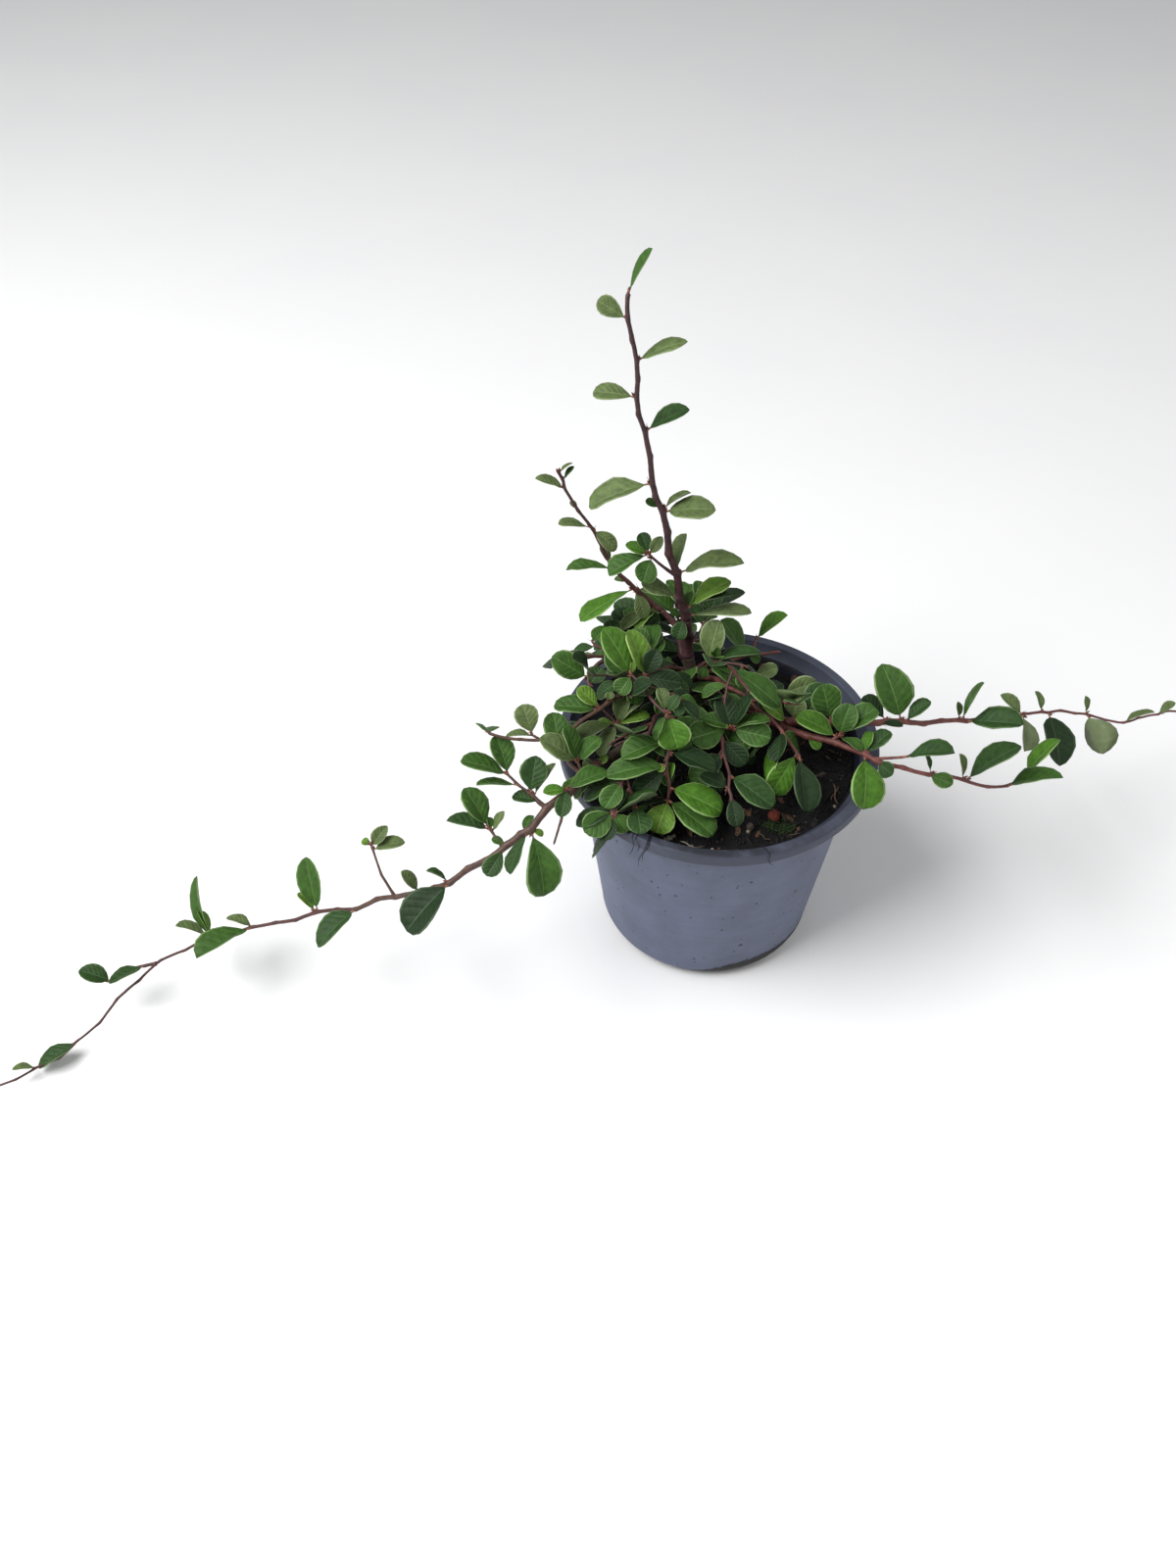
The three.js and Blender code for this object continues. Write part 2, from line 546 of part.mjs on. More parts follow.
function potSolid() {
  const rimFoot = POT_HEIGHT - RIM_DEPTH;
  const flat = WALL_FOOT_RADIUS - FOOT_CORNER;
  const inside = FOOT_CORNER - WALL;
  return turned([
    [0, 0],
    ...corner(FOOT_CORNER, flat, FOOT_CORNER, 4),
    [WALL_TOP_RADIUS, rimFoot],
    [RIM_RADIUS - 1.2, rimFoot + 0.4],
    [RIM_RADIUS, rimFoot + 1.6],
    [RIM_RADIUS, POT_HEIGHT - 1.6],
    [RIM_RADIUS - 0.6, POT_HEIGHT - 0.5],
    [RIM_RADIUS - 1.8, POT_HEIGHT],
    [RIM_INNER_RADIUS + 0.8, POT_HEIGHT],
    [RIM_INNER_RADIUS, POT_HEIGHT - 0.7],
    [WALL_TOP_RADIUS - WALL + 1.6, rimFoot + 1.4],
    [WALL_TOP_RADIUS - WALL, rimFoot - 0.6],
    ...corner(inside, flat, FLOOR + inside, 3).reverse(),
    [0, FLOOR],
  ], POT_SIDES);
}

// Height of the soil above its level: low waves, and an even bed under the stump
function soilBump(x, y, height) {
  if (height < SOIL_TOP - 0.01) return 0;
  const reach = Math.hypot(x, y);
  const waves = 0.5 * Math.sin(x / 7 + 1) + 0.5 * Math.sin(y / 6 + x / 11);
  const edge = Math.min(1, Math.max(0, (wallRadius(SOIL_TOP) - WALL - 1 - reach) / 8));
  const near = Math.min(1, Math.max(0, (19 - Math.hypot(x - STUMP_FOOT.x, y - STUMP_FOOT.y)) / 7));
  return SOIL_LUMP * mix(waves * edge, 1, near);
}

function soilSolid() {
  const flat = WALL_FOOT_RADIUS - FOOT_CORNER;
  const inside = FOOT_CORNER - WALL;
  const side = wallRadius(SOIL_TOP) - WALL - GAP * 1.1;
  const rings = [50, 43, 37, 31, 25, 19, 10].map((radius) => [radius, SOIL_TOP]);
  return turned([
    [0, FLOOR + GAP],
    ...corner(inside - GAP, flat, FLOOR + inside, 3),
    [side, SOIL_TOP],
    ...rings,
    [0, SOIL_TOP],
  ], POT_SIDES, soilBump);
}

// Parts of the plant by name, each a list of solids to be fused
const parts = new Map();

function keep(name, shape) {
  if (!parts.has(name)) parts.set(name, []);
  parts.get(name).push(shape);
}

function grow(name, shoot, shape) {
  keep(name, shape);
  place(name, shape, shoot);
}

// Centre lines first: from the stump, or from a place on another shoot
const byName = new Map();
for (const shoot of SHOOTS) {
  const start = shoot.on
    ? pointAt(byName.get(shoot.on).line, shoot.at).point
    : STUMP_FOOT.clone().addScaledVector(STUMP_LEAN, shoot.height * 0.96);
  shoot.line = centreLine(start, shoot.course, shoot.length);
  byName.set(shoot.name, shoot);
}

// Name of the part that a shoot has at a distance; a twig belongs to one part all along
function partAt(shoot, distance) {
  return shoot.part ?? shoot.parts.find(([end]) => distance <= end + 1e-6)[1];
}

// Stump: level rings up a leaning line, the lowest spreading into root buttresses and cut flat
function stumpSolid() {
  const points = [];
  const faces = [];
  const last = STUMP_RADII.length - 1;
  STUMP_RADII.forEach((radius, i) => {
    const t = i / last;
    const middle = STUMP_FOOT.clone().addScaledVector(STUMP_LEAN, t * t * 0.3 + t * 0.7);
    for (let k = 0; k < STUMP_SIDES; k++) {
      const a = (2 * Math.PI * k) / STUMP_SIDES;
      const reach = radius * (1 + 0.14 * (1 - t) * Math.cos(4 * a + 0.6));
      points.push(middle.clone().add(new THREE.Vector3(reach * Math.cos(a), reach * Math.sin(a), 0)));
    }
  });
  for (let i = 0; i < last; i++) {
    for (let k = 0; k < STUMP_SIDES; k++) {
      const a = i * STUMP_SIDES + k;
      const b = i * STUMP_SIDES + ((k + 1) % STUMP_SIDES);
      faces.push([a, b, b + STUMP_SIDES], [a, b + STUMP_SIDES, a + STUMP_SIDES]);
    }
  }
  const top = last * STUMP_SIDES;
  for (let k = 1; k < STUMP_SIDES - 1; k++) faces.push([0, k + 1, k], [top, top + k, top + k + 1]);
  return solid(points, faces);
}

// The stump carries a stub for every shoot that springs from it
grow('trunk', null, stumpSolid());

// Limbs: each shoot is cut into its stub and its parts, a small gap apart
for (const shoot of SHOOTS) {
  const stub = shoot.stub ?? STUB;
  const carrier = shoot.on ? partAt(byName.get(shoot.on), shoot.at) : 'trunk';
  grow(carrier, shoot, limb(shoot, 0, stub - GAP / 2, shoot.radius[0] > 1.65 ? 8 : 6));
  let from = stub + GAP / 2;
  shoot.parts.forEach(([end, name], i) => {
    const last = i === shoot.parts.length - 1;
    grow(name, shoot, limb(shoot, from, last ? end : end - GAP / 2, name.startsWith('bough') ? 8 : 3));
    from = end + GAP / 2;
  });
}

// A leaf from its row of the table
function setLeaf(shoot, [distance, turn, rise, roll, length, wide]) {
  const along = heading(turn, rise);
  const face = new THREE.Vector3(0, 0, 1).addScaledVector(along, -along.z).normalize();
  const side = along.clone().cross(face);
  const a = radians(roll);
  face.multiplyScalar(Math.cos(a)).addScaledVector(side, Math.sin(a));
  return { root: pointAt(shoot.line, distance).point, along, face, length, wide };
}

// A leaf for a mark at a distance along a shoot
function leafAt(shoot, distance, mark, dice) {
  const { point, along } = pointAt(shoot.line, distance);
  const right = along.clone().cross(new THREE.Vector3(0, 0, 1)).normalize();
  const up = right.clone().cross(along);
  const small = mark !== mark.toUpperCase();
  const kind = mark.toUpperCase();
  const spread = radians(58 + dice.near(14));
  const lift = radians((shoot.lift ?? 18) + dice.near(16));
  const drift = dice.near(0.3);
  const way = along.clone();
  if (kind === 'T') {
    way.addScaledVector(right, drift).addScaledVector(up, 0.15);
  } else {
    const side = kind === 'R' ? 1 : -1;
    way.multiplyScalar(Math.cos(spread)).addScaledVector(right, side * Math.sin(spread));
    way.multiplyScalar(Math.cos(lift)).addScaledVector(up, Math.sin(lift));
  }
  way.normalize();
  const sky = new THREE.Vector3(dice.near(0.28), dice.near(0.28), 1);
  const face = sky.addScaledVector(way, -sky.dot(way)).normalize();
  const size = mix(shoot.leaf[0], shoot.leaf[1], (distance - shoot.bare) / (shoot.length - shoot.bare));
  return {
    root: point,
    along: way,
    face,
    length: size * (small ? 0.58 : 1) * (1 + dice.near(0.14)),
    wide: LEAF_WIDE * (small ? 0.88 : 1) * (1 + dice.near(0.12)),
    byDice: true,
  };
}

// Spots that stay in the light: the open ones, and six in the middle of every set leaf
const litSpots = OPEN_SPOTS.map((spot) => new THREE.Vector3(...spot));

function keepLit(shape) {
  const middle = shape.points[7];
  litSpots.push(middle);
  for (let k = 1; k < 6; k++) litSpots.push(middle.clone().lerp(shape.points[k], 0.7));
}

function standsInLight(shape) {
  return shape.faces.some(([p, q, r]) => litSpots.some((spot) => (
    pierces(spot, LIGHT, shape.points[p], shape.points[q], shape.points[r]))));
}

// A leaf swung up or down about its root
function swung(leaf, degrees) {
  const a = radians(degrees);
  const along = leaf.along.clone().multiplyScalar(Math.cos(a)).addScaledVector(leaf.face, Math.sin(a));
  const face = leaf.face.clone().multiplyScalar(Math.cos(a)).addScaledVector(leaf.along, -Math.sin(a));
  return { ...leaf, along, face };
}

// Gives a leaf the first of a few tilts that keeps clear, and out of the light if it grows by dice, or
// leaves it out
function settle(leaf, shoot, name) {
  const tilt = LIFTS.find((degrees) => {
    const fat = leafSolid(swung(leaf, degrees), CLEAR);
    const thin = leafSolid(swung(leaf, degrees));
    return offThePot(fat) && !(leaf.byDice && standsInLight(thin))
      && keepsClear(fat, (other) => other.name !== name)
      && keepsClear(thin, (other) => (other.name === name && other.shoot !== shoot)
        || (other.root && other.root.distanceTo(leaf.root) > 2.5));
  });
  if (tilt === undefined) return;
  const shape = leafSolid(swung(leaf, tilt));
  keep(name, shape);
  place(name, shape, shoot, leaf.root);
  if (!leaf.byDice) keepLit(shape);
}

// Leaves that a shoot grows by its dice
function leafOut(shoot, dice) {
  const stations = shoot.leaves.split(' ');
  stations.forEach((marks, i) => {
    const distance = mix(shoot.bare, shoot.length, i / Math.max(1, stations.length - 1));
    for (const mark of marks.replace('.', '')) {
      const leaf = leafAt(shoot, Math.min(distance, shoot.length - 0.6), mark, dice);
      settle(leaf, shoot, partAt(shoot, distance));
    }
  });
}

// A side twig: a small shoot of the same part. False where it would leave its space, and then it is left out
function sideTwig(twig, shoot) {
  const start = pointAt(shoot.line, twig.at).point;
  twig.part = partAt(shoot, twig.at);
  twig.line = centreLine(start, twig.course, twig.length);
  const fat = limb(twig, 0, twig.length, 3, CLEAR);
  const free = limb(twig, 3, twig.length, 3, CLEAR);
  if (!keepsClear(fat, (other) => other.name !== twig.part) || !offThePot(free)) return false;
  grow(twig.part, twig, limb(twig, 0, twig.length, 3));
  return true;
}

// Twigs that a shoot sends out by its dice, left and right in turn
function twigsOf(shoot, dice) {
  const [number, length, turn] = shoot.twigs ?? [0];
  const first = dice.roll() < 0.5 ? -1 : 1;
  const twigs = [];
  for (let i = 0; i < number; i++) {
    const at = mix(shoot.bare, shoot.length * 0.86, (i + 0.5) / number);
    const side = i % 2 === 0 ? first : -first;
    const [turnHere, riseHere] = courseAt(shoot.course, at / shoot.length);
    const away = turnHere + side * (turn + dice.near(12));
    const rise = riseHere + 8 + dice.near(10);
    const size = mix(shoot.leaf[0], shoot.leaf[1], 0.5);
    twigs.push({
      at,
      length: length * (1 + dice.near(0.18)),
      radius: [0.7, 0.45],
      bare: 7,
      leaf: [size, size],
      course: [[away, rise], [away - side * 14, rise - 16]],
      leaves: 'LR L R LRT',
    });
  }
  return twigs;
}

// Twigs in a fixed place first, then the set leaves, then what grows by dice
const stems = [...SHOOTS];
for (const shoot of SHOOTS) {
  for (const side of shoot.sides ?? []) {
    if (sideTwig(side, shoot)) stems.push(side);
  }
}
for (const stem of stems) {
  for (const row of stem.set ?? []) settle(setLeaf(stem, row), stem, partAt(stem, row[0]));
}
for (const shoot of SHOOTS) {
  if (!shoot.leaves) continue;
  const dice = new Dice(shoot.seed);
  leafOut(shoot, dice);
  for (const twig of twigsOf(shoot, dice)) {
    if (sideTwig(twig, shoot)) leafOut(twig, dice);
  }
}

// Solid as a boolean body
function body(shape) {
  const triVerts = new Uint32Array(shape.faces.flat());
  const vertProperties = new Float32Array(shape.points.flatMap((point) => point.toArray()));
  return new wasm.Manifold(new wasm.Mesh({ numProp: 3, vertProperties, triVerts }));
}

// One closed body from a mesh: the largest shell is kept, which fills sealed hollows and drops scraps
function largestShell(points, faces) {
  const owner = points.map((_, i) => i);
  const find = (i) => {
    while (owner[i] !== i) {
      owner[i] = owner[owner[i]];
      i = owner[i];
    }
    return i;
  };
  for (const [a, b, c] of faces) {
    owner[find(a)] = find(b);
    owner[find(b)] = find(c);
  }
  const volumes = new Map();
  for (const [a, b, c] of faces) {
    const volume = points[a].dot(points[b].clone().cross(points[c])) / 6;
    volumes.set(find(a), (volumes.get(find(a)) ?? 0) + volume);
  }
  const best = [...volumes].sort((one, other) => other[1] - one[1])[0][0];
  const kept = faces.filter(([a]) => find(a) === best);
  const numbers = new Map();
  const corners = [];
  const renumbered = kept.map((face) => face.map((i) => {
    if (!numbers.has(i)) {
      numbers.set(i, corners.length);
      corners.push(points[i]);
    }
    return numbers.get(i);
  }));
  return solid(corners, renumbered);
}

// Plain solid from a boolean body, with slivers smoothed away
function plain(whole) {
  const mesh = whole.simplify(SMOOTH).getMesh();
  const points = [];
  for (let i = 0; i < mesh.numVert; i++) {
    points.push(new THREE.Vector3(...mesh.vertProperties.slice(3 * i, 3 * i + 3)));
  }
  const faces = [];
  for (let i = 0; i < mesh.numTri; i++) faces.push([...mesh.triVerts.slice(3 * i, 3 * i + 3)]);
  return largestShell(points, faces);
}

// True where no two corners nearly meet and no face is a mere line
function sound(shape) {
  const sorted = [...shape.points].sort((a, b) => a.x - b.x);
  for (let i = 0; i < sorted.length; i++) {
    for (let j = i + 1; j < sorted.length && sorted[j].x - sorted[i].x < TINY; j++) {
      if (sorted[i].distanceTo(sorted[j]) < TINY) return false;
    }
  }
  return shape.faces.every(([a, b, c]) => {
    const [p, q, r] = [shape.points[a], shape.points[b], shape.points[c]];
    const area = q.clone().sub(p).cross(r.clone().sub(p)).length();
    const longest = Math.max(p.distanceTo(q), q.distanceTo(r), r.distanceTo(p));
    return area / longest > TINY / 10;
  });
}

// Fuse solids one after another; one that would leave a flaw is tried a hair to the side, then left out
function fused(shapes) {
  let whole = body(shapes[0]);
  for (const shape of shapes.slice(1)) {
    for (const nudge of NUDGES) {
      const aside = new THREE.Vector3(nudge, -nudge, nudge * 0.7);
      const moved = solid(shape.points.map((point) => point.clone().add(aside)), shape.faces);
      const more = whole.add(body(moved));
      if (sound(plain(more))) {
        whole = more;
        break;
      }
    }
  }
  return plain(whole);
}

const group = new THREE.Group();

function addMesh(name, shape, color, roughness) {
  const geometry = new THREE.BufferGeometry();
  const corners = new Float32Array(shape.points.flatMap((point) => point.toArray()));
  geometry.setAttribute('position', new THREE.BufferAttribute(corners, 3));
  geometry.setIndex(shape.faces.flat());
  geometry.computeVertexNormals();
  const material = new THREE.MeshStandardMaterial({ color, roughness, metalness: 0 });
  const mesh = new THREE.Mesh(geometry, material);
  mesh.name = name;
  group.add(mesh);
}

addMesh('pot', potSolid(), POT_COLOUR, 0.55);
addMesh('soil', soilSolid(), SOIL_COLOUR, 0.95);
for (const [name, shapes] of parts) {
  const woody = name === 'trunk' || name.startsWith('bough');
  addMesh(name, fused(shapes), woody ? BARK_COLOUR : LEAF_COLOUR, woody ? 0.7 : 0.5);
}

export default group;
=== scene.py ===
# %% [markdown]
# # A creeping shrub in a nursery pot
# The plant was packed as plain solids: a pot, its soil, a short stump, a few boughs and many leafy masses. This
# lesson dresses that frame. It grows the same plant again by the same rule, but with fine leaves, stalks, buds
# and bark, and gives the pot and the soil the surface that the real ones have. Everything is in metres, in the
# frame of the solids, so a piece goes where its solid already is.

import json
import math

import bpy
import numpy as np
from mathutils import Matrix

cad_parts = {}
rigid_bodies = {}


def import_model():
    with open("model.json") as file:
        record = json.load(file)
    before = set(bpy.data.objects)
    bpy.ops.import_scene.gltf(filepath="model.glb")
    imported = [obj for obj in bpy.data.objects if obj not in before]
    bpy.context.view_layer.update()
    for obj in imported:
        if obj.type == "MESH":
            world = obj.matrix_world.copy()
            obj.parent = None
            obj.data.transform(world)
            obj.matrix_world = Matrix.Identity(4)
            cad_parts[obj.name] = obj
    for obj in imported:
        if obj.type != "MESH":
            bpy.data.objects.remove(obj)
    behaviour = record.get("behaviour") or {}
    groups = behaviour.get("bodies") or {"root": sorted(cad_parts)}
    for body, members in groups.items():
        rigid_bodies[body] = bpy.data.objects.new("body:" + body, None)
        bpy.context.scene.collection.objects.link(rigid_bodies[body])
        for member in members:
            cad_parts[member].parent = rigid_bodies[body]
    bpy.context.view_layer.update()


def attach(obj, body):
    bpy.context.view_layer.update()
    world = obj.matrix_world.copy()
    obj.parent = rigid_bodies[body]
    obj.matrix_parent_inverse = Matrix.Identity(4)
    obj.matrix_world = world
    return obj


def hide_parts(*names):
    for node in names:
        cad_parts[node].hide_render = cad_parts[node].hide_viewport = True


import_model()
MM = 0.001

# %% [markdown]
# ## Sizes
# The sizes below are the ones that the solids were built from, in millimetres. A shoot is described as a
# gardener would: where it starts, how long it is, and which way it heads along its length, as turns about the
# upright axis and rises above level. Each leaf that shows has a row of its own: distance along the shoot, turn,
# rise, roll about its own length, length, and width as a share of it where that isn't SET_WIDE. A letter gives
# its shade, which holds the painted light and shade on that leaf as well as its own colour: y young, f fresh,
# m mid, d deep, k dark, g greyed by its light, u with its underside up. Hidden leaves grow by dice instead.
# Keeping the same table here means that each fine leaf grows inside the place of its plain solid.

# %% Sizes of the pot, the soil and the stump
RIM_RADIUS = 65.0
RIM_DEPTH = 6.0
RIM_INNER_RADIUS = 60.8
POT_HEIGHT = 105.0
WALL_TOP_RADIUS = 57.5
WALL_FOOT_RADIUS = 46.5
FOOT_CORNER = 9.0
WALL = 1.4
FLOOR = 2.0
SOIL_TOP = 96.6
SOIL_LUMP = 0.9
# Free space between a part and the one that carries it
GAP = 0.3
STUMP_FOOT = np.array([-8.0, 28.0, SOIL_TOP + SOIL_LUMP + GAP])
STUMP_LEAN = np.array([-1.2, 1.4, 14.0])
STUMP_RADII = [7.4, 5.4, 4.5, 3.9, 3.2]
STUMP_SIDES = 12

# %% Sizes of stems and leaves, and what the light has to reach
# Length of the stub that carries a shoot, and step of a centre line
STUB = 9.0
STEP = 2.0
LEAF_THICK = 0.5
LEAF_WIDE = 0.64
SET_WIDE = 0.62
LEAF_FOLD = 0.2
LEAF_CURL = 0.14
# Tilts that a leaf may take, in degrees, and the space that it keeps from other parts and from the ground
LIFTS = [0, 24, -20, 46]
CLEAR = 0.35
GROUND_CLEAR = 1.5
# Leaves of the same node have their roots this close together
SAME_NODE = 2.5
LIGHT = np.array([-52.9, -400.6, 505.4])
OPEN_SPOTS = [
    [24, 60, 97], [31, 54, 97], [35, 51, 97], [38, 48, 97], [42, 45, 97], [32, 43, 97], [46, 41, 97], [51, 36, 97],
    [-52, 177, 0], [-62, 185, 0], [-48, 193, 0], [-57, 198, 0], [-59, 150, 0], [-115, 97, 0], [-108, 107, 0],
    [-52, 31, 0], [-50, 36, 0], [-48, 178, 0], [-55, 187, 0],
]

# %% Shoots
def twig(at, length, course, shades="", rows=(), radius=(0.8, 0.5)):
    """A side twig: its place on the shoot, its length and course, and the letters and rows of its leaves."""
    return {"at": at, "length": length, "course": course, "shades": shades, "set": rows, "radius": radius}


